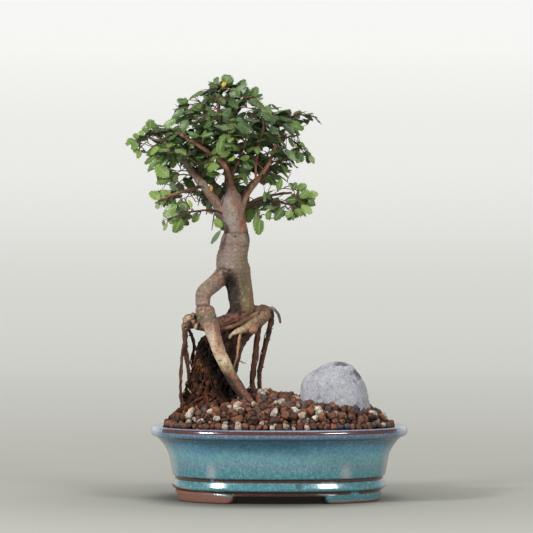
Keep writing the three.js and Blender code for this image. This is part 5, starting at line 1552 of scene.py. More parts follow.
# limb, fraction along it, tip of the leafy twig
sprayPlan = [
    ("leader", 0.98, (-41, 0, 327)), ("leader", 0.86, (-30, 6, 323)), ("leader", 0.8, (-60, 12, 310)),
    ("leaderRight", 0.97, (-18, -4, 319)), ("leaderRight", 0.6, (-28, 10, 305)),
    ("leaderLeft", 0.95, (-54, -6, 322)), ("leaderLeft", 0.75, (-71, -10, 316)), ("leaderLeft", 0.35, (-78, -2, 306)),
    ("leader", 0.6, (-66, 16, 291)), ("leftMain", 0.97, (-118, -18, 280)), ("leftMain", 0.86, (-103, -14, 293)),
    ("leftMain", 0.72, (-92, -12, 295)), ("leftMain", 0.9, (-109, -20, 264)), ("leftMain", 0.66, (-101, -6, 256)),
    ("leftMain", 0.5, (-94, -22, 247)), ("leftMiddle", 0.96, (-101, -31, 237)), ("leftMiddle", 0.6, (-91, -16, 225)),
    ("leftLow", 0.97, (-91, -40, 209)), ("leftLow", 0.7, (-80, -30, 206)), ("leftLow", 0.45, (-63, -18, 212)),
    ("leftLow", 0.2, (-53, -8, 201)), ("centreMain", 0.97, (-78, -49, 290)), ("centreMain", 0.8, (-63, -46, 286)),
    ("centreMain", 0.62, (-52, -41, 259)), ("centreMain", 0.5, (-62, -30, 298)), ("centreRiser", 0.95, (-24, -38, 300)),
    ("centreRiser", 0.75, (-42, -36, 285)), ("centreRiser", 0.5, (-26, -36, 263)), ("rightMain", 0.98, (5, -4, 304)),
    ("rightMain", 0.6, (12, -14, 256)), ("rightMain", 0.45, (-8, -22, 245)), ("rightRiser", 0.97, (-12, -14, 307)),
    ("rightRiser", 0.7, (-3, -28, 281)), ("rightArch", 0.97, (33, 0, 292)), ("rightArch", 0.6, (19, 2, 284)),
    ("rightArch", 0.35, (27, -6, 262)), ("rightLow", 0.97, (30, -14, 238)), ("rightLow", 0.85, (23, -16, 221)),
    ("rightLow", 0.6, (6, -10, 216)), ("rightLow", 0.35, (-15, -10, 206)), ("backLeft", 0.97, (-92, 62, 272)),
    ("backLeft", 0.7, (-72, 58, 284)), ("backLeft", 0.55, (-90, 40, 258)), ("backRight", 0.97, (20, 60, 274)),
    ("backRight", 0.7, (-4, 56, 285)), ("backRight", 0.5, (12, 38, 257)), ("backTop", 0.97, (-30, 58, 303)),
    ("backTop", 0.6, (-52, 44, 294)), ("backLowLeft", 0.95, (-92, 50, 233)), ("backLowLeft", 0.55, (-66, 44, 224)),
    ("backLowRight", 0.95, (22, 50, 232)), ("backLowRight", 0.55, (-4, 44, 221)),
]

crownShape = {
    "middle": np.array([-40.0, 4.0, 248.0]),
    "leafLength": 13.5,
    "leafWidth": 9.0,
    "leafSpacing": 3.9,
    "sideTwigs": 3,
    "spursPerLimb": 3,
    "twigRadius": 0.6,
    "fillSpacing": 9.4,
    "upperCrown": 258.0,
    "fillReach": (7.0, 36.0),
    "halfDepth": 60.0,
    # the crown's outline from the front, as x and height
    "outline": [(-119.4, 280.1), (-109.7, 285.1), (-104.3, 293.7), (-100.4, 296.4), (-95.7, 293.7),
                (-96.6, 289.8), (-89.2, 293.7), (-84.4, 298.5), (-81.3, 306.3), (-80.9, 311.2), (-74.7, 312.8),
                (-71.7, 311.6), (-71.6, 316.3), (-66.9, 319.4), (-55.2, 319.8), (-53.3, 321.9), (-56, 325.6),
                (-48.4, 329.9), (-46, 329.5), (-44, 331.4), (-37.7, 330), (-36.2, 326.8), (-34.8, 326.4),
                (-30, 328.3), (-25.1, 320.2), (-22.2, 321.2), (-12.1, 315.5), (-10.5, 307.1), (-4.7, 307.1),
                (6.1, 306.1), (10.9, 301.8), (20.6, 303), (28.4, 300.3), (34.6, 291), (26.4, 296),
                (13.6, 295.3), (20.1, 286.3), (13.2, 284.8), (14, 281.3), (21, 277.4), (25.7, 269.6),
                (28.4, 260.2), (19.8, 267.6), (13.2, 270.7), (6.6, 277.4), (7, 273.9), (17.7, 268),
                (15.6, 259.9), (11.7, 254.8), (10, 250.5), (5.4, 250.1), (9.3, 247.8), (22.2, 246.6),
                (24.1, 240.4), (31.1, 239.6), (30.8, 234.6), (28.8, 229.1), (25.3, 219.8), (18.7, 219),
                (10, 214.7), (3.9, 218.2), (-1.7, 215.1), (-9.5, 216.1), (-12.5, 219.4), (-10.5, 211.2),
                (-15.9, 204.2), (-20.2, 209.7), (-19.8, 218.2), (-23.7, 210.5), (-44, 210.1), (-53.7, 197.8),
                (-54.5, 198.8), (-49, 207.7), (-52.5, 214.7), (-57.2, 216.3), (-62, 215.5), (-65.9, 213.2),
                (-69.2, 217.5), (-73.3, 217.1), (-74.3, 210.8), (-80.9, 205.4), (-83.4, 211.6), (-86, 212.4),
                (-90.3, 207.1), (-91, 215.1), (-92.2, 220.6), (-88.7, 228), (-94.1, 223.8), (-99.4, 228),
                (-94.5, 231.5), (-99.6, 233), (-101.5, 239.6), (-92.6, 238.8), (-92.2, 243.9), (-96.5, 245.9),
                (-95.5, 252.5), (-103.1, 254), (-105.8, 259.2), (-102.3, 269.2), (-107, 269.2),
                (-110.2, 263.4), (-115.5, 270.7)],
    # where the sky shows through: x, height, half width, half height
    "gaps": [(-65, 310.2, 5, 3), (-49, 304.9, 2.2, 2), (-26.1, 304.2, 2.8, 4.4), (-74.7, 251.8, 3, 2),
             (-83.4, 242.4, 4, 2.4), (-79.5, 259.6, 1.6, 2), (-65, 230.7, 5, 4), (4.1, 241.2, 4, 5),
             (5.1, 225.6, 3, 2.6), (10, 276.2, 3.6, 4), (-10.5, 243.1, 2.5, 2.5), (-9.5, 271.3, 1.8, 2),
             (-2.7, 262.6, 2, 2), (-101.9, 276.6, 3.4, 2), (-45.5, 251.8, 2, 1.5), (-20.2, 239.2, 2, 2),
             (-3.9, 238.5, 1.8, 3), (-70, 228.3, 1.4, 3)],
    # limbs that stay bare on their front side up to a height, and how far to each side
    "bareLimbs": [("trunk", 240, 11.0), ("centreMain", 272, 3.5), ("leftMain", 258, 5.5), ("rightMain", 262, 4.0),
                  ("rightRiser", 262, 2.5), ("leader", 262, 2.0), ("leftMiddle", 300, 2.0), ("leftLow", 300, 2.0),
                  ("rightLow", 300, 1.6), ("centreRiser", 280, 1.6)],
}

# single leaves that the eye goes to: x and height of the base and of the tip, y, which way it faces
# (0 to the front, 1 up, 2 to the back), width, age
markedLeaves = [(-41.1, 321.2, -40.3, 330.1, -8, 0, 8.1, 0.95), (-41.1, 319.9, -44.2, 323.8, -10, 0, 3.9, 2),
    (-49.7, 321.3, -47.7, 328.7, -6, 0, 4.7, 0.15), (-48.9, 319, -54.7, 323.6, -6, 0, 5, 0.05),
    (-29.5, 311.8, -29.5, 326.5, -10, 0, 9.3, 0.5), (-30.2, 310.9, -37.2, 318.2, -12, 0, 6.2, 0.6),
    (-27.9, 310.3, -22.9, 318.9, -8, 0, 7, 0.4), (-21.8, 311.4, -12.4, 314.8, -4, 1, 7, 0.05),
    (-21, 311.2, -16.3, 320.2, -6, 0, 6.2, 0.05), (-55.9, 316.7, -70.6, 312, -6, 0, 4.7, 0.65),
    (-72.1, 306.9, -79.9, 310, -8, 0, 6.2, 0.7), (-73.7, 306.5, -72.1, 311.9, -8, 0, 3.9, 0.6),
    (-4.7, 298.3, 9.2, 302.9, -16, 1, 7, 0.5), (-2.4, 296, 10.7, 294.4, -16, 1, 7, 0.3),
    (3.8, 293, 18.9, 286, -14, 0, 7, 0.35), (1.5, 290.6, 13.1, 284.5, -16, 0, 6.2, 0.25),
    (-8.6, 302.6, -7, 307.2, -8, 0, 3.1, 0.4), (11.6, 298.2, 17.8, 301.6, -4, 1, 5.4, 0.4),
    (15.5, 298.2, 21.7, 302, -4, 1, 4.7, 0.4), (20.2, 297.8, 27.2, 300.1, -4, 1, 5.4, 0.4),
    (24.1, 297.4, 31, 296.2, -4, 1, 4.7, 0.4), (27.5, 296.2, 34.1, 290.8, -4, 1, 4.7, 0.5),
    (16.3, 296.9, 13.6, 295, -5, 0, 3.1, 0.3), (6.9, 279.9, 12.7, 273, -12, 1, 3.9, 0.5),
    (9.2, 279.5, 17.7, 277.2, -12, 1, 5.4, 0.5), (13.9, 276.9, 20.8, 273.8, -11, 1, 4.6, 0.5),
    (17, 273.8, 23.6, 270, -10, 1, 4.6, 0.55), (19.7, 270.7, 25.9, 265.3, -10, 1, 4.6, 0.5),
    (22.4, 267.2, 28, 260.1, -10, 0, 4.3, 0.6), (13.8, 260.9, 19.3, 267.9, -14, 0, 6.2, 1),
    (4.5, 271.9, 13.8, 262.3, -18, 2, 5.8, 0.8), (15.4, 264.4, 13.5, 259.7, -14, 0, 3.9, 0.9),
    (-0.9, 238.3, 1.4, 248.3, -20, 0, 5.8, 1), (10, 238.9, 13.8, 245.8, -14, 0, 5.4, 0.6),
    (13.8, 238.9, 21.6, 244.3, -14, 0, 6.2, 0.55), (15.3, 233.4, 23.8, 239.1, -18, 0, 6.6, 0.9),
    (20.8, 234.2, 30.5, 238.1, -14, 0, 6.2, 0.7), (21.6, 232.7, 28.5, 229.2, -14, 0, 5.4, 0.3),
    (16.9, 228.8, 23.9, 220.1, -14, 0, 6.6, 0.7), (11.5, 224.9, 18.5, 219.5, -16, 0, 5.4, 0.7),
    (11.5, 222.9, 4.2, 218.7, -18, 0, 6.2, 0.9), (11.5, 221.9, 9.6, 214.9, -14, 2, 3.1, 0.5),
    (3, 225.7, -3.9, 216.4, -14, 0, 7.7, 0.5), (1.5, 225, 3.8, 218.4, -12, 0, 5.4, 0.6),
    (-7, 225, -10.1, 216.5, -12, 0, 5.4, 0.8), (-22.6, 228.4, -23.4, 214.4, 4, 0, 8.6, 0.95),
    (-15.6, 226.1, -17.9, 220.6, 2, 0, 4.7, 0.8), (-14.8, 218.4, -15.9, 204.7, -14, 0, 8.5, 0.95),
    (-43, 210.7, -51.1, 217.2, -13, 0, 7.3, 0.35), (-44.5, 209.5, -53.4, 198.1, -12, 2, 3.5, 0.2),
    (-62.6, 222.2, -66.4, 213.7, -18, 0, 6.6, 0.8), (-75, 218.5, -79.9, 205.7, -30, 0, 8.4, 0.85),
    (-85.5, 214.6, -88.9, 207.1, -36, 2, 3.4, 0.4), (-83.2, 216.1, -83.6, 212.3, -36, 0, 3.1, 0.8),
    (-77.6, 228.8, -89.9, 220, -30, 0, 8.4, 0.8), (-67.4, 224.4, -77.8, 230.1, -24, 0, 6.9, 0.75),
    (-76.8, 221.5, -84.9, 217.3, -32, 0, 5, 0.7), (-67, 225.1, -68.9, 232.8, -26, 0, 3.1, 1),
    (-90.7, 231.5, -99.5, 238.4, -30, 0, 6.9, 0.85),
    (-94.1, 228.8, -92.2, 223.9, -30, 2, 3.8, 0.7),
    (-82.6, 234.1, -91.1, 239.9, -20, 0, 6.2, 0.75),
    (-79.6, 238.8, -84.6, 246.1, -16, 2, 5.4, 0.7), (-83.9, 248.2, -93.9, 259.3, -26, 0, 8.8, 1),
    (-82.4, 247.8, -94.8, 245.9, -24, 0, 6.2, 0.8), (-87.1, 255.5, -93.2, 264.8, -24, 0, 6.2, 0.8),
    (-92.5, 268.6, -104, 258.8, -24, 0, 4.6, 0.7),
    (-92.4, 265.5, -101.6, 253.9, -26, 0, 4.6, 0.75), (-88.5, 267, -96.2, 256.2, -26, 0, 5, 0.65),
    (-84.8, 267.1, -90.1, 257.1, -24, 0, 5.4, 0.75),
    (-80.3, 265.7, -82.6, 255.7, -20, 0, 6.2, 0.85),
    (-99.2, 286.1, -99.5, 294.6, -20, 0, 7.7, 0.85),
    (-99.5, 286.5, -106.5, 284.6, -20, 0, 5.4, 0.6),
    (-109.6, 275.3, -118, 278.8, -20, 0, 5.4, 0.9),
    (-108, 275.7, -114.2, 270.7, -20, 0, 5.4, 0.85),
    (-107.6, 279.6, -113.4, 282.3, -20, 0, 5, 0.85),
    (-106.5, 269.9, -109.2, 263.2, -20, 0, 4.6, 0.6),
    (-108, 270.7, -113.8, 269.2, -20, 0, 4.2, 0.7),
    (-103.4, 284.2, -108.8, 281.9, -20, 0, 4.6, 0.6),
    (-46, 264.4, -43.7, 280.1, -42, 0, 8.8, 0.95), (-46, 264.1, -54, 262.5, -42, 1, 5, 0.95),
    (-45.6, 263.7, -36.8, 268.3, -42, 0, 4.6, 0.85), (-60.4, 279.9, -71, 283.7, -46, 1, 6.1, 0.75),
    (-60.4, 279.5, -50.1, 283.7, -46, 1, 6.1, 0.75), (-64.8, 240.2, -74.1, 250.4, 8, 0, 8.2, 0.95),
    (-73.3, 239.4, -81.1, 244.9, 6, 2, 6.2, 0.8), (-33, 286.7, -46.8, 289.3, -40, 1, 9.2, 0.05),
    (-19.3, 282.5, -30.7, 291.3, -40, 0, 9.9, 0.08),
    (-15.5, 291.7, -26.2, 295.2, -38, 1, 9.2, 0.1), (-52.2, 250.3, -63.9, 261.2, 6, 2, 7.8, 0.8),
    (-23.4, 249.9, -30.4, 259.7, 6, 2, 7.8, 0.8), (-30.4, 262.7, -22.3, 265, -38, 0, 4.6, 0.5),
    (-56.8, 264.8, -65.6, 264.4, -34, 1, 6.1, 0.3), (-68.6, 256.7, -66.7, 261.7, -24, 0, 4.2, 0.5),
    (-52.4, 237.8, -51.4, 243.6, -24, 0, 2.6, 2), (-72.3, 302.5, -82.6, 291.4, -30, 0, 5.4, 0.85),
    (-78.3, 293.6, -89.1, 287.1, -32, 0, 6.5, 0.7),
    (-69.8, 293.4, -75.2, 283.8, -36, 0, 7.7, 0.08),
    (-58.8, 306.1, -67.7, 300.3, -14, 0, 5.4, 0.2),
    (-22.4, 310.3, -10.1, 301, -22, 0, 6.2, 0.75), (-25.6, 309.1, -17.1, 305.2, -16, 1, 6.2, 0.3),
    (-34.1, 306.9, -27.1, 310.8, -14, 1, 5.4, 0.6), (-38.7, 311.7, -33.3, 316.3, -12, 0, 6.2, 0.55),
    (-44.2, 311.8, -50.4, 315.6, -10, 1, 5.4, 0.3), (-41, 309.7, -46.4, 305.9, -18, 0, 5.4, 0.5),
    (-17.9, 308.7, -11.7, 311.8, -10, 1, 4.6, 0.4), (-24.9, 312, -28, 317.4, -6, 0, 5.4, 0.2),
    (-55, 311.7, -62, 306.2, -12, 1, 5.4, 0.1), (-13.2, 299.3, -5.5, 292.4, -26, 0, 6.9, 0.2),
    (-36.2, 302.1, -44.6, 297.5, -30, 1, 6.9, 0.1), (-50.6, 291.7, -59, 287.2, -38, 1, 6.9, 0.15),
    (-8.6, 288.5, -0.1, 282.4, -26, 0, 6.2, 0.6), (-40.8, 292.7, -33.1, 295.8, -34, 1, 6.9, 0.35),
    (-58.5, 294.5, -66.1, 298.3, -30, 1, 6.1, 0.3)]

branchTones = {
    "leader": ("6b5044", "8a6c5c"), "leftMain": ("857264", "b3a193"), "centreMain": ("9a6751", "c08e74"),
    "rightMain": ("9e6a51", "c38f76"), "rightRiser": ("96624b", "bd8a70"), "leftMiddle": ("6a4a3c", "9c7660"),
    "leftLow": ("332821", "5c4a3e"), "rightLow": ("2d2320", "54443a"), "leaderLeft": ("5c3f34", "86604e"),
    "leaderRight": ("5c3f34", "86604e"), "centreRiser": ("6e4a3c", "966a56"), "rightArch": ("6e4a3c", "966a56"),
}


slimness = {"leftMiddle": 0.8, "leftLow": 0.7, "rightLow": 0.62, "centreMain": 0.78, "rightMain": 0.85, "rightRiser": 0.75,
            "centreRiser": 0.65, "rightArch": 0.75}


def limbPlace(name, fraction):
    line = smoothLine(branchRows[name], 16)
    along = np.concatenate([[0], np.cumsum(np.linalg.norm(np.diff(line[:, :3], axis=0), axis=1))])
    return np.array([np.interp(fraction * along[-1], along, line[:, column]) for column in range(4)])


def knobby(along, angle, radius):
    knots = np.maximum(np.sin(along * 0.55 + 0.6 * np.sin(along * 0.21)), 0) ** 6
    return 1 + 0.16 * knots + 0.06 * np.sin(2 * angle + along * 0.3) + 0.05 * np.sin(3 * angle - along * 0.7)


twigs = Bundle()
leafStarts = []  # base, direction, upper side, length share, age, width share for each leaf
twigParts = []  # each twig's mesh, its tone, its leaves and the twig it grows from
holdPoints = []  # places on branches and twigs that a new twig can leave from, and whose they are
holdOwners = []


def insideCrown(points):  # whether places lie inside the crown's outline, which narrows to the front and back
    middle = crownShape["middle"]
    narrow = np.sqrt(np.maximum(1 - ((points[:, 1] - middle[1]) / crownShape["halfDepth"]) ** 2, 1e-3))
    flatX = middle[0] + (points[:, 0] - middle[0]) / narrow
    flatZ = middle[2] + (points[:, 2] - middle[2]) / narrow
    inside = np.zeros(len(points), bool)
    corners = crownShape["outline"]
    for (x0, z0), (x1, z1) in zip(corners, corners[1:] + corners[:1]):
        crosses = (z0 > flatZ) != (z1 > flatZ)
        inside ^= crosses & (flatX < x0 + (flatZ - z0) / ((z1 - z0) or 1e-9) * (x1 - x0))
    return inside & (narrow > 0.05)


def addTwig(root, tip, radius, rise, spacing, sizes, age=0.5, crowded=1.0, parent=-1):
    firstLeaf = len(leafStarts)
    reach = np.linalg.norm(tip - root)
    middle = (root + tip) / 2 + [0, 0, reach * rise] + draws.normal(size=3) * reach * 0.04
    rows = np.array([[*root, radius], [*middle, radius * 0.75], [*tip, radius * 0.42]])
    line = smoothLine(rows, max(4, int(reach / 3)))
    centres = line[:, :3]
    steps = np.linalg.norm(np.diff(centres, axis=0), axis=1)
    along = np.concatenate([[0], np.cumsum(steps)])
    # the twig bends a little at each bud
    for k in range(1, len(line)):
        line[k, :3] += draws.normal(size=3) * 0.18
    points, faces, _ = tube(line, 6, None, 0.2)
    dark, light = np.array(tint("3a2620")), np.array(tint("7a5040"))
    share = draws.random()
    owner = len(twigParts)
    holdPoints.extend(centres[1:])
    holdOwners.extend([owner] * (len(centres) - 1))
    ahead, _, _ = lineFrames(centres)
    outward = unit((root + tip) / 2 - crownShape["middle"])
    side = 1 if draws.random() < 0.5 else -1
    place = spacing * 0.7
    while place < along[-1]:
        at = np.array([np.interp(place, along, centres[:, column]) for column in range(3)])
        way = np.array([np.interp(place, along, ahead[:, column]) for column in range(3)])
        # high leaves lie flat in layers, low ones hang with their upper sides outward
        low = float(fade(262, 222, at[2]))
        face = unit(np.array([0, 0, 0.85 - 0.55 * low]) + outward * (0.3 + 0.6 * low) + draws.normal(size=3) * 0.3)
        face = unit(face - way * face.dot(way) * 0.6)
        left = unit(np.cross(face, way))
        swing = side * draws.uniform(0.7, 1.15)
        sag = [0, 0, -0.12 - 0.55 * low]
        forward = unit(way * math.cos(swing) + left * math.sin(swing) + sag + draws.normal(size=3) * 0.14)
        grown = place / along[-1]
        size = draws.uniform(*sizes) * (1 - 0.22 * grown ** 3)
        leafStarts.append((at, forward, face, size, age + 0.3 * grown + draws.normal() * 0.12, 1.0))
        side = -side
        place += spacing * draws.uniform(0.8, 1.2) * crowded
    face = unit(np.array([0, 0, 0.6]) + outward * 0.5 + draws.normal(size=3) * 0.3)
    leafStarts.append((centres[-1], unit(ahead[-1] + [0, 0, -0.15]), face, draws.uniform(*sizes) * 0.9, age + 0.35, 1.0))
    twigParts.append((points, faces, dark + (light - dark) * share, range(firstLeaf, len(leafStarts)), parent))
    return line, owner


def makeBranches():
    bundle = Bundle()
    for index, (name, rows) in enumerate(branchRows.items()):
        line = wander(rows, 500 + index, 0.25, 9)
        line[:, 3] *= slimness.get(name, 0.9)
        high = line[line[:, 2] > 216][:, :3]
        holdPoints.extend(high)
        holdOwners.extend([-1] * len(high))
        sides = 16 if rows[0][3] > 2.5 else 12
        points, faces, along = tube(line, sides, knobby)
        dark, light = (np.array(tint(code)) for code in branchTones.get(name, ("4a362d", "7a5f50")))
        share = np.clip(0.5 + 0.6 * cellNoise(points, 7.0, 520 + index), 0, 1)[:, None]
        tone = dark + (light - dark) * share
        young = fade(0.45, 1.0, along / along.max())[:, None]  # the ends are darker and younger
        tone = tone * (1 - 0.45 * young) + np.array(tint("35241d")) * 0.45 * young
        hollow = np.clip(0.35 * cellNoise(points, 1.6, 540), 0, 1)
        bundle.add(points, faces, barkTone=tone, hollow=hollow)
    points, faces, values = bundle.arrays()
    smooth = makeBark("branchBark", 1.5, 0.3, 0.6, (1, 1, 1), "33221b", "c0ab9a", 0.5)
    showPiece("branches", buildMesh("branches", points, faces, values), smooth, ["wood"])


def makeTwigs():
    for limb, fraction, tipPlace in sprayPlan:
        root = limbPlace(limb, fraction)
        tip = np.array(tipPlace, float)
        reach = np.linalg.norm(tip - root[:3])
        tip = root[:3] + (tip - root[:3]) * (1 - 0.55 * crownShape["leafLength"] / max(reach, 12))
        line, owner = addTwig(root[:3], tip, crownShape["twigRadius"] * 1.2, 0.1, crownShape["leafSpacing"], (0.75, 1.05))
        way = unit(tip - root[:3])
        for k in range(crownShape["sideTwigs"]):
            share = 0.2 + 0.62 * (k + draws.uniform(0.1, 0.9)) / crownShape["sideTwigs"]
            spot = line[int(share * (len(line) - 1)), :3]
            aside = unit(np.cross(way, draws.normal(size=3)))
            reach = draws.uniform(12, 22)
            end = spot + unit(way * 0.8 + aside * 0.85 + [0, 0, 0.12]) * reach
            end = spot + (end - spot) * crownRoom(spot, end)
            if np.linalg.norm(end - spot) > 5:
                addTwig(spot, end, crownShape["twigRadius"] * 0.75, 0.06, 3.6, (0.6, 0.95), parent=owner)
    # short spurs all along the outer halves of the branches
    for name, rows in branchRows.items():
        count = crownShape["spursPerLimb"] + (2 if len(rows) > 5 else 0)
        for k in range(count):
            share = 0.3 + 0.66 * (k + draws.uniform(0.1, 0.9)) / count
            root = limbPlace(name, share)
            if root[2] < 214:
                continue
            outward = unit(root[:3] - crownShape["middle"] + draws.normal(size=3) * 14)
            end = root[:3] + unit(outward + [0, 0, 0.35] + draws.normal(size=3) * 0.4) * draws.uniform(10, 20)
            end = root[:3] + (end - root[:3]) * crownRoom(root[:3], end)
            if np.linalg.norm(end - root[:3]) > 5:
                addTwig(root[:3], end, crownShape["twigRadius"] * 0.7, 0.05, 3.7, (0.6, 0.92), age=0.3)


def crownRoom(start, end):  # how much of a twig keeps its leaves inside the crown's outline
    for share in (1.0, 0.8, 0.6, 0.4):
        tip = start + (end - start) * (share + 4 / np.linalg.norm(end - start))
        if insideCrown(tip[None])[0]:
            return share
    return 0.0


def fillCrown():  # more twigs grow into whatever room the crown has left
    step = crownShape["fillSpacing"]
    upper = crownShape["upperCrown"]
    low, high = np.array([-120, -50, 208]), np.array([34, 58, 326])
    axes = [np.arange(low[k], high[k], step) for k in range(3)]
    targets = np.stack(np.meshgrid(*axes), axis=-1).reshape(-1, 3)
    targets = targets + draws.uniform(-0.45, 0.45, targets.shape) * step
    targets = targets[insideCrown(targets) & ((draws.random(len(targets)) < np.where(targets[:, 2] > upper, 1.0, 0.3)))]
    targets = targets[draws.permutation(len(targets))]
    nearest, furthest = crownShape["fillReach"]
    for target in targets:
        leaves = np.array([start[0] for start in leafStarts])
        if np.min(np.linalg.norm(leaves - target, axis=1)) < step * 0.4:
            continue
        holds = np.array(holdPoints)
        away = np.linalg.norm(holds - target, axis=1)
        choice = np.argmin(away + 0.6 * np.maximum(holds[:, 2] - target[2], 0))
        if nearest < away[choice] < furthest:
            addTwig(holds[choice], target, crownShape["twigRadius"] * 0.75, 0.06, 4.0, (0.6, 0.95),
                    age=0.05 if target[2] > upper else 0.3, parent=holdOwners[choice])


def keptLeaves():  # leaves that stay inside the outline and hide neither the sky's gaps nor the bare limbs
    limbs = {"trunk": trunkRows, **branchRows}
    base = np.array([start[0] for start in leafStarts])
    ahead = unit(np.array([start[1] for start in leafStarts])) * np.array([start[3] for start in leafStarts])[:, None]
    centres, tips = base + ahead * 7, base + ahead * 13.5
    keep = insideCrown(centres) & insideCrown(tips)
    for x, z, halfWidth, halfHeight in crownShape["gaps"]:
        for places in (centres, tips):
            keep &= np.hypot((places[:, 0] - x) / (halfWidth + 2.2), (places[:, 2] - z) / (halfHeight + 2.2)) > 1
    for name, top, reach in crownShape["bareLimbs"]:
        line = smoothLine(limbs[name], 8)
        line = line[line[:, 2] < top]
        away = np.hypot(centres[:, None, 0] - line[None, :, 0], centres[:, None, 2] - line[None, :, 2])
        near = np.argmin(away, axis=1)
        keep &= (away.min(axis=1) > reach + 1.5) | (centres[:, 1] > line[near, 1] + 2)
    for x0, z0, x1, z1, y, *_ in markedLeaves:
        away = np.hypot(centres[:, 0] - (x0 + x1) / 2, centres[:, 2] - (z0 + z1) / 2)
        keep &= (away > 5.5) | (centres[:, 1] > y + 3)
    return keep


def growMarkedLeaves(needed):  # the single leaves, each on a twig of its own, and which twigs they hang from
    grown = []
    holds = np.array(holdPoints)
    for x0, z0, x1, z1, y, facing, wide, age in markedLeaves:
        base = np.array([x0, y, z0])
        tip = np.array([x1, y + draws.uniform(-3, 1), z1])
        away = np.linalg.norm(holds - base, axis=1) + 0.5 * np.maximum(base[2] - holds[:, 2], 0)
        acrossTrunk = ((holds[:, 0] + 35) * (base[0] + 35) < 0) & (base[2] < 245)
        choice = np.argmin(away + 60 * acrossTrunk)
        root = holds[choice]
        needed.add(holdOwners[choice])
        middle = (root + base) / 2 + [0, 0, 1.0]
        line = smoothLine([[*root, 0.5], [*middle, 0.42], [*base, 0.32]], 6)
        points, faces, _ = tube(line, 6, None, 0.2)
        twigs.add(points, faces, barkTone=np.array(tint("4a3028")), hollow=np.zeros(len(points)))
        face = np.array([(0, -1, 0.25), (0, -0.4, 0.9), (0, 1, -0.25)][int(facing)]) + draws.normal(size=3) * 0.16
        length = np.linalg.norm(tip - base) - 1.1
        size = length / crownShape["leafLength"]
        grown.append((base, unit(tip - base), face, size, age, wide / crownShape["leafWidth"] / size))
    return grown


def addTwigs(keep, needed):  # only twigs that hold leaves, and the twigs that those grow from
    for owner, part in enumerate(twigParts):
        if keep[part[3]].any():
            needed.add(owner)
    for owner in range(len(twigParts) - 1, -1, -1):
        if owner in needed:
            needed.add(twigParts[owner][4])
    for owner, (points, faces, tone, leaves, parent) in enumerate(twigParts):
        if owner in needed:
            twigs.add(points, faces, barkTone=tone, hollow=np.zeros(len(points)))


makeBranches()
makeTwigs()
fillCrown()
leafKept = keptLeaves()
neededTwigs = set()
markedStarts = growMarkedLeaves(neededTwigs)
addTwigs(leafKept, neededTwigs)
leafStarts = [start for start, kept in zip(leafStarts, leafKept) if kept] + markedStarts
print("leaves to grow:", len(leafStarts))
print("branches made")


# Leaves

leafShape = {
    # share of the length, half width share at the teeth and between them
    "outline": [(0.03, 0.20), (0.09, 0.58), (0.135, 0.46), (0.21, 0.90), (0.26, 0.68), (0.34, 1.08), (0.39, 0.80),
                (0.47, 1.13), (0.52, 0.82), (0.60, 1.07), (0.65, 0.74), (0.73, 0.92), (0.78, 0.55), (0.87, 0.60)],
    "columns": (-1.0, -0.5, 0.0, 0.5, 1.0),
    "thickness": 0.26,
    "cup": 0.22,
    "droop": 0.32,
}


def leafTemplate():  # u, v, out to the side, above or below the middle surface, faces, which faces are below
    outline = leafShape["outline"]
    columns = np.array(leafShape["columns"])
    u, v, wide, level = [0.0], [0.0], [0.0], [0.0]
    index = {}
    for side in (1, -1):
        for i, (share, half) in enumerate(outline):
            for j, column in enumerate(columns):
                edge = abs(column) == 1
                if side == -1 and edge:
                    index[side, i, j] = index[1, i, j]
                    continue
                index[side, i, j] = len(u)
                forward = 0.035 if edge and i % 2 == 1 else 0.0  # the teeth point ahead
                u.append(share + forward)
                v.append(column)
                wide.append(column * half)
                level.append(0.0 if edge else side * 0.5)
    tip = len(u)
    u.append(1.0)
    v.append(0.0)
    wide.append(0.0)
    level.append(0.0)
    quads, fans, below = [], [], []
    rows = len(outline)
    for side in (1, -1):
        for i in range(rows - 1):
            for j in range(4):
                quad = [index[side, i, j], index[side, i, j + 1], index[side, i + 1, j + 1], index[side, i + 1, j]]
                quads.append(quad if side == 1 else quad[::-1])
                below.append(side == -1)
    fanBelow = []
    for side in (1, -1):
        for j in range(4):
            for triangle in ([0, index[side, 0, j + 1], index[side, 0, j]], [tip, index[side, rows - 1, j], index[side, rows - 1, j + 1]]):
                fans.append(triangle if side == 1 else triangle[::-1])
                fanBelow.append(side == -1)
    return (np.array(u), np.array(v), np.array(wide), np.array(level), np.array(quads), np.array(fans),
            np.array(below), np.array(fanBelow))


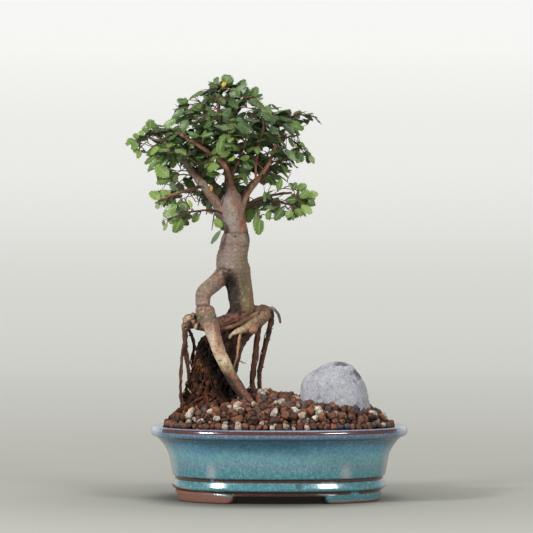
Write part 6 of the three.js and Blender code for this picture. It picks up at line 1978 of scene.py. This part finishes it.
def growLeaves(starts, name, material):
    u, v, wide, level, quads, fans, below, fanBelow = leafTemplate()
    count = len(starts)
    base = np.array([start[0] for start in starts])
    ahead = unit(np.array([start[1] for start in starts]))
    face = np.array([start[2] for start in starts])
    side = unit(np.cross(ahead, face))
    up = np.cross(side, ahead)
    size = np.array([start[3] for start in starts])
    age = np.array([start[4] for start in starts])
    age = np.where(age > 1.5, age, np.clip(age, 0, 1))  # two stands for a yellow leaf
    length = crownShape["leafLength"] * size
    width = crownShape["leafWidth"] * size * draws.uniform(0.86, 1.14, count) * np.array([start[5] for start in starts])
    droop = leafShape["droop"] * draws.uniform(0.2, 1.6, count)
    cup = leafShape["cup"] * draws.uniform(-0.3, 1.5, count)
    twist = draws.normal(0, 0.22, count)
    bend = draws.normal(0, 0.07, count)
    petiole = 1.1 * size
    # one half of an elm leaf is a little wider than the other
    uneven = 1 + 0.09 * np.sign(v)[None] * np.where(draws.random(count) < 0.5, 1, -1)[:, None]
    jitter = 1 + 0.05 * cellNoise((u * 9)[None].repeat(count, 0).ravel()[:, None] * [1, 0, 0]
                                  + np.arange(count).repeat(len(u))[:, None] * [0, 3.7, 0]
                                  + np.tile(np.sign(v), count)[:, None] * [0, 0, 2.3], 1.0, 610).reshape(count, -1)
    across = wide[None] * width[:, None] / 2 * uneven * jitter
    curl = droop[:, None] * u[None]
    along = petiole[:, None] + length[:, None] * u[None] * (1 - curl ** 2 / 6)
    height = -length[:, None] * u[None] * curl / 2
    height = height + cup[:, None] * np.abs(across) - 0.028 * across ** 2 * (1 + np.sign(cup))[:, None]
    # the blade is puffed between its side veins and wavy at its edge
    height += 0.13 * np.cos(2 * math.pi * (u * 5.5 - np.abs(v) * 0.8))[None] * (np.abs(v) < 0.9)
    height += 0.22 * np.abs(v)[None] ** 3 * np.sin(u[None] * 11 + draws.uniform(0, 6, count)[:, None] + 2 * v[None])
    height += level[None] * leafShape["thickness"]
    roll = twist[:, None] * u[None]
    turned = across * np.cos(roll) - height * np.sin(roll)
    height = across * np.sin(roll) + height * np.cos(roll)
    turned = turned + (bend * length)[:, None] * u[None] ** 2
    points = (base[:, None] + along[..., None] * ahead[:, None] + turned[..., None] * side[:, None]
              + height[..., None] * up[:, None]).reshape(-1, 3)
    size = len(u)
    shift = (np.arange(count) * size)[:, None, None]
    groups = [(quads[None] + shift).reshape(-1, 4), (fans[None] + shift).reshape(-1, 3)]
    tone = draws.random(count)
    # painted shade: leaves deep inside the crown and high in it are darker
    depth = np.linalg.norm((base - crownShape["middle"]) / [74, 58, 70], axis=1)
    high = fade(262, 292, base[:, 2])
    inner = 0.42 * fade(1.05, 0.5, depth) + 0.2 * fade(238, 262, base[:, 2]) + 0.6 * high - 0.2 * fade(0.95, 1.1, depth)
    inner = np.where(age > 1.5, 0, np.clip(np.clip(inner, 0, 1) + draws.normal(0, 0.22, count), 0, 1))
    values = {"leafU": np.tile(u, count), "leafV": np.tile(v, count), "leafTone": np.repeat(tone, size),
              "leafAge": np.repeat(age, size), "leafShade": np.repeat(inner, size)}
    mesh = buildMesh(name, points, groups, values)
    under = np.concatenate([np.tile(below, count), np.tile(fanBelow, count)]).astype(np.float32)
    layer = mesh.attributes.new("underside", "FLOAT", "FACE")
    layer.data.foreach_set("value", under)
    rim = np.tile((np.abs(v) == 1) | (level == 0) & ((u == 0) | (u == 1)), count)
    edges = edgesOf(mesh)
    sharp = mesh.attributes.new("sharp_edge", "BOOLEAN", "EDGE")
    sharp.data.foreach_set("value", rim[edges].all(axis=1))
    return mesh


def makeLeafFinish():
    material, tree, shader = newMaterial("elmLeaf")
    u, v = stored(tree, "leafU"), stored(tree, "leafV")
    tone, age, shade = stored(tree, "leafTone"), stored(tree, "leafAge"), stored(tree, "leafShade")
    under = stored(tree, "underside")
    reach = sums(tree, "ABSOLUTE", v)
    # side veins run forward from the midrib to each tooth
    phase = sums(tree, "FRACT", sums(tree, "ADD", sums(tree, "MULTIPLY", u, 9.0), sums(tree, "MULTIPLY", reach, -1.9)))
    away = sums(tree, "ABSOLUTE", sums(tree, "SUBTRACT", phase, 0.5))
    sideVein = scaled(tree, away, 0.40, 0.5)
    fadeOut = scaled(tree, reach, 0.75, 1.0, 1.0, 0.2)
    sideVein = sums(tree, "MULTIPLY", sideVein, fadeOut)
    midrib = scaled(tree, reach, 0.035, 0.10, 1.0, 0.0)
    vein = sums(tree, "MAXIMUM", midrib, sums(tree, "MULTIPLY", sideVein, 0.55))
    blotch, blotchHeight = grainOf(tree, 5.0, (1, 1, 1), 0.6, 0.35, 0.65)
    fine, fineHeight = grainOf(tree, 0.55, (1, 1, 1), 0.7, 0.3, 0.7)
    young = ramp(tree, tone, [(0.0, "5c7a2b"), (0.35, "6a8831"), (0.7, "7c983b"), (1.0, "94aa4a")])
    old = ramp(tree, tone, [(0.0, "3a5220"), (0.4, "4a6527"), (0.75, "5f7a2f"), (1.0, "768c3c")])
    colour = blendTints(tree, scaled(tree, age, 0.25, 0.95), old, young)
    # painted shade: shaded leaves, deep in the crown, turn to deep greens
    deep = ramp(tree, tone, [(0.0, "1c3018"), (0.5, "27431f"), (1.0, "3c5c2a")])
    colour = blendTints(tree, sums(tree, "MULTIPLY", shade, 0.95, clamp=True), colour, deep)
    colour = blendTints(tree, scaled(tree, age, 1.2, 1.8), colour, solidTint("d9a52c"))
    colour = blendTints(tree, sums(tree, "MULTIPLY", blotch, 0.25), colour, solidTint("2b4a26"))
    colour = blendTints(tree, sums(tree, "MULTIPLY", fine, 0.12), colour, solidTint("8aa85a"))
    rib = blendTints(tree, shade, solidTint("a2b67c"), solidTint("5f7a50"))
    colour = blendTints(tree, sums(tree, "MULTIPLY", vein, 0.75), colour, rib)
    below = blendTints(tree, 0.5, colour, solidTint("7d9070"))
    colour = blendTints(tree, under, colour, below)
    # painted rim light: a pale line along each leaf's edge
    edge = scaled(tree, reach, 0.93, 1.0)
    colour = blendTints(tree, sums(tree, "MULTIPLY", edge, 0.45), colour, solidTint("9aa678"))
    feed(tree, shader.inputs["Base Color"], colour)
    gloss = scaled(tree, fine, 0.0, 1.0, 0.28, 0.42)
    feed(tree, shader.inputs["Roughness"], sums(tree, "ADD", gloss, sums(tree, "MULTIPLY", under, 0.28)))
    shader.inputs["Specular IOR Level"].default_value = 0.45
    ribs = bumpOf(tree, sums(tree, "SUBTRACT", 1.0, vein), 0.22, 0.6)
    feed(tree, shader.inputs["Normal"], bumpOf(tree, fineHeight, 0.06, 0.5, ribs))
    return material


def makeFoliage():
    finish = makeLeafFinish()
    ahead = unit(np.array([start[1] for start in leafStarts]))
    # short stalks hold the leaves
    for (base, forward, face, size, age, wide), way in zip(leafStarts, ahead):
        line = np.array([[*(base - way * 0.3), 0.26], [*(base + way * 0.9 * size), 0.2], [*(base + way * 1.9 * size), 0.14]])
        points, faces, _ = tube(line, 3, None, 0.1)
        twigs.add(points, faces, barkTone=np.array(tint("6f7a3c")), hollow=np.zeros(len(points)))
    points, faces, values = twigs.arrays()
    bark = makeBark("twigBark", 1.0, 0.2, 0.4, (1, 1, 1), "241812", "9c8270", 0.5)
    showPiece("leafy_twigs", buildMesh("leafy_twigs", points, faces, values), bark, sprayNodes)
    front = sorted(range(len(leafStarts)), key=lambda k: leafStarts[k][0][1])
    half = len(front) // 2
    for name, chosen in (("front_leaves", front[:half]), ("back_leaves", front[half:])):
        mesh = growLeaves([leafStarts[k] for k in sorted(chosen)], name, finish)
        showPiece(name, mesh, finish, sprayNodes)


makeFoliage()
print("leaves made")


# Studio

studio = {
    "cameraDistance": 2.2,
    "cameraHeight": 0.1805,
    "cameraShiftX": -0.00973,
    "lensMm": 191.0,
    "worldLight": 0.3,
    # radius and height of the bowl that is both floor and backdrop, and how far up its grey ramp each ring lies; the
    # rings round the pot sit at the ramp's foot, a painted shadow on the floor
    "bowl": [(0.0, 0.0, 0.0), (0.06, 0.0, 0.0), (0.105, 0.0, 0.012), (0.24, 0.0, 0.04), (0.6, 0.0, 0.1), (1.2, 0.0, 0.22), (2.0, 0.0, 0.32), (2.6, 0.0, 0.36),
             (2.9, 0.05, 0.4), (3.12, 0.18, 0.47), (3.26, 0.36, 0.6), (3.32, 0.55, 0.78), (3.34, 0.75, 1.0), (3.35, 1.1, 1.0)],
    # the ramp's colours, darkest at its foot as painted shadow round the pot
    "greys": [(0.0, "62625c"), (0.012, "9c9c93"), (0.04, "7c7c76"), (0.1, "9a9a93"), (0.36, "c4c4bd"), (0.6, "d6d6d2"), (0.85, "ececea"), (1.0, "f4f4f3")],
    # the same ramp's own glow, so that the backdrop pales upwards on every side; the glow is dim at the ramp's foot as
    # part of the painted shadow round the pot
    "glow": [(0.0, "1c1b19"), (0.012, "101010"), (0.04, "868680"), (0.1, "7e7e79"), (0.15, "84847f"), (0.3, "9a9a97"), (0.36, "a4a4a1"),
             (0.46, "ababa8"), (0.53, "b6b6b4"), (0.6, "bcbcba"), (0.7, "babab9"), (0.85, "c0c0bf"), (1.0, "bcbcbc")],
    "lamps": [
        # name, place, size, watts, aim
        ("leftBox", (-0.974, -0.818, 0.845), (0.3, 0.18), 17.0, (0, 0, 0.12)),
        ("rightBox", (0.748, -1.029, 0.845), (0.42, 0.18), 10.5, (0, 0, 0.12)),
        ("topLamp", (0.1, 0.2, 1.7), (1.0, 1.0), 7.5, (0, 0, 0.2)),
    ],
}


def makeStudio():
    # a wide bowl, so that every side of the tree stands before the same soft greys
    around = 96
    turns = np.arange(around) / around * 2 * math.pi
    line = smoothLine([(r, z, level, 0) for r, z, level in studio["bowl"]], 5)
    line = line[1:]
    rings = np.array([np.stack([np.cos(turns) * r, np.sin(turns) * r, np.full(around, max(z, 0))], axis=-1) for r, z, level, _ in line])
    levels = np.concatenate([np.repeat(line[:, 2], around), [0.0]])
    points = np.vstack([rings.reshape(-1, 3), [[0, 0, 0]]])
    here = np.arange(around)
    fan = np.stack([np.full(around, len(points) - 1), here, np.roll(here, -1)], axis=-1)
    mesh = buildMesh("backdrop", points * 1000 - potMiddle * 1000, [gridFaces(len(rings), around), fan],
                     {"greyLevel": np.clip(levels, 0, 1)})
    material, tree, shader = newMaterial("paleBackdrop")
    feed(tree, shader.inputs["Base Color"], ramp(tree, stored(tree, "greyLevel"), studio["greys"]))
    feed(tree, shader.inputs["Emission Color"], ramp(tree, stored(tree, "greyLevel"), studio["glow"]))
    # most of the glow is for the eye alone, so that the tree keeps its shadows
    eye = node(tree, "ShaderNodeLightPath").outputs["Is Camera Ray"]
    feed(tree, shader.inputs["Emission Strength"], scaled(tree, eye, 0.0, 1.0, 0.3, 1.0))
    shader.inputs["Roughness"].default_value = 0.95
    shader.inputs["Specular IOR Level"].default_value = 0.0
    backdrop = bpy.data.objects.new("backdrop", mesh)
    bpy.context.scene.collection.objects.link(backdrop)
    mesh.materials.append(material)
    world = bpy.data.worlds.new("softRoom")
    world.use_nodes = True
    sky = world.node_tree.nodes["Background"]
    sky.inputs["Color"].default_value = (1.0, 1.0, 1.0, 1.0)
    sky.inputs["Strength"].default_value = studio["worldLight"]
    bpy.context.scene.world = world
    for name, spot, size, power, aim in studio["lamps"]:
        light = bpy.data.lights.new(name, "AREA")
        light.shape = "RECTANGLE"
        light.size, light.size_y = size
        light.energy = power
        lamp = bpy.data.objects.new(name, light)
        bpy.context.scene.collection.objects.link(lamp)
        lamp.location = spot
        lamp.rotation_euler = (Vector(aim) - Vector(spot)).to_track_quat("-Z", "Y").to_euler()


def makeCamera():
    lens = bpy.data.cameras.new("photoLens")
    lens.lens = studio["lensMm"]
    lens.sensor_width = 36.0
    camera = bpy.data.objects.new("photoCamera", lens)
    bpy.context.scene.collection.objects.link(camera)
    camera.location = (potMiddle[0] + studio["cameraShiftX"], potMiddle[1] - studio["cameraDistance"], studio["cameraHeight"])
    camera.rotation_euler = (math.radians(90), 0, 0)
    bpy.context.scene.camera = camera


makeStudio()
makeCamera()
bpy.context.scene.view_settings.view_transform = "Standard"
bpy.context.view_layer.update()
print("studio made")
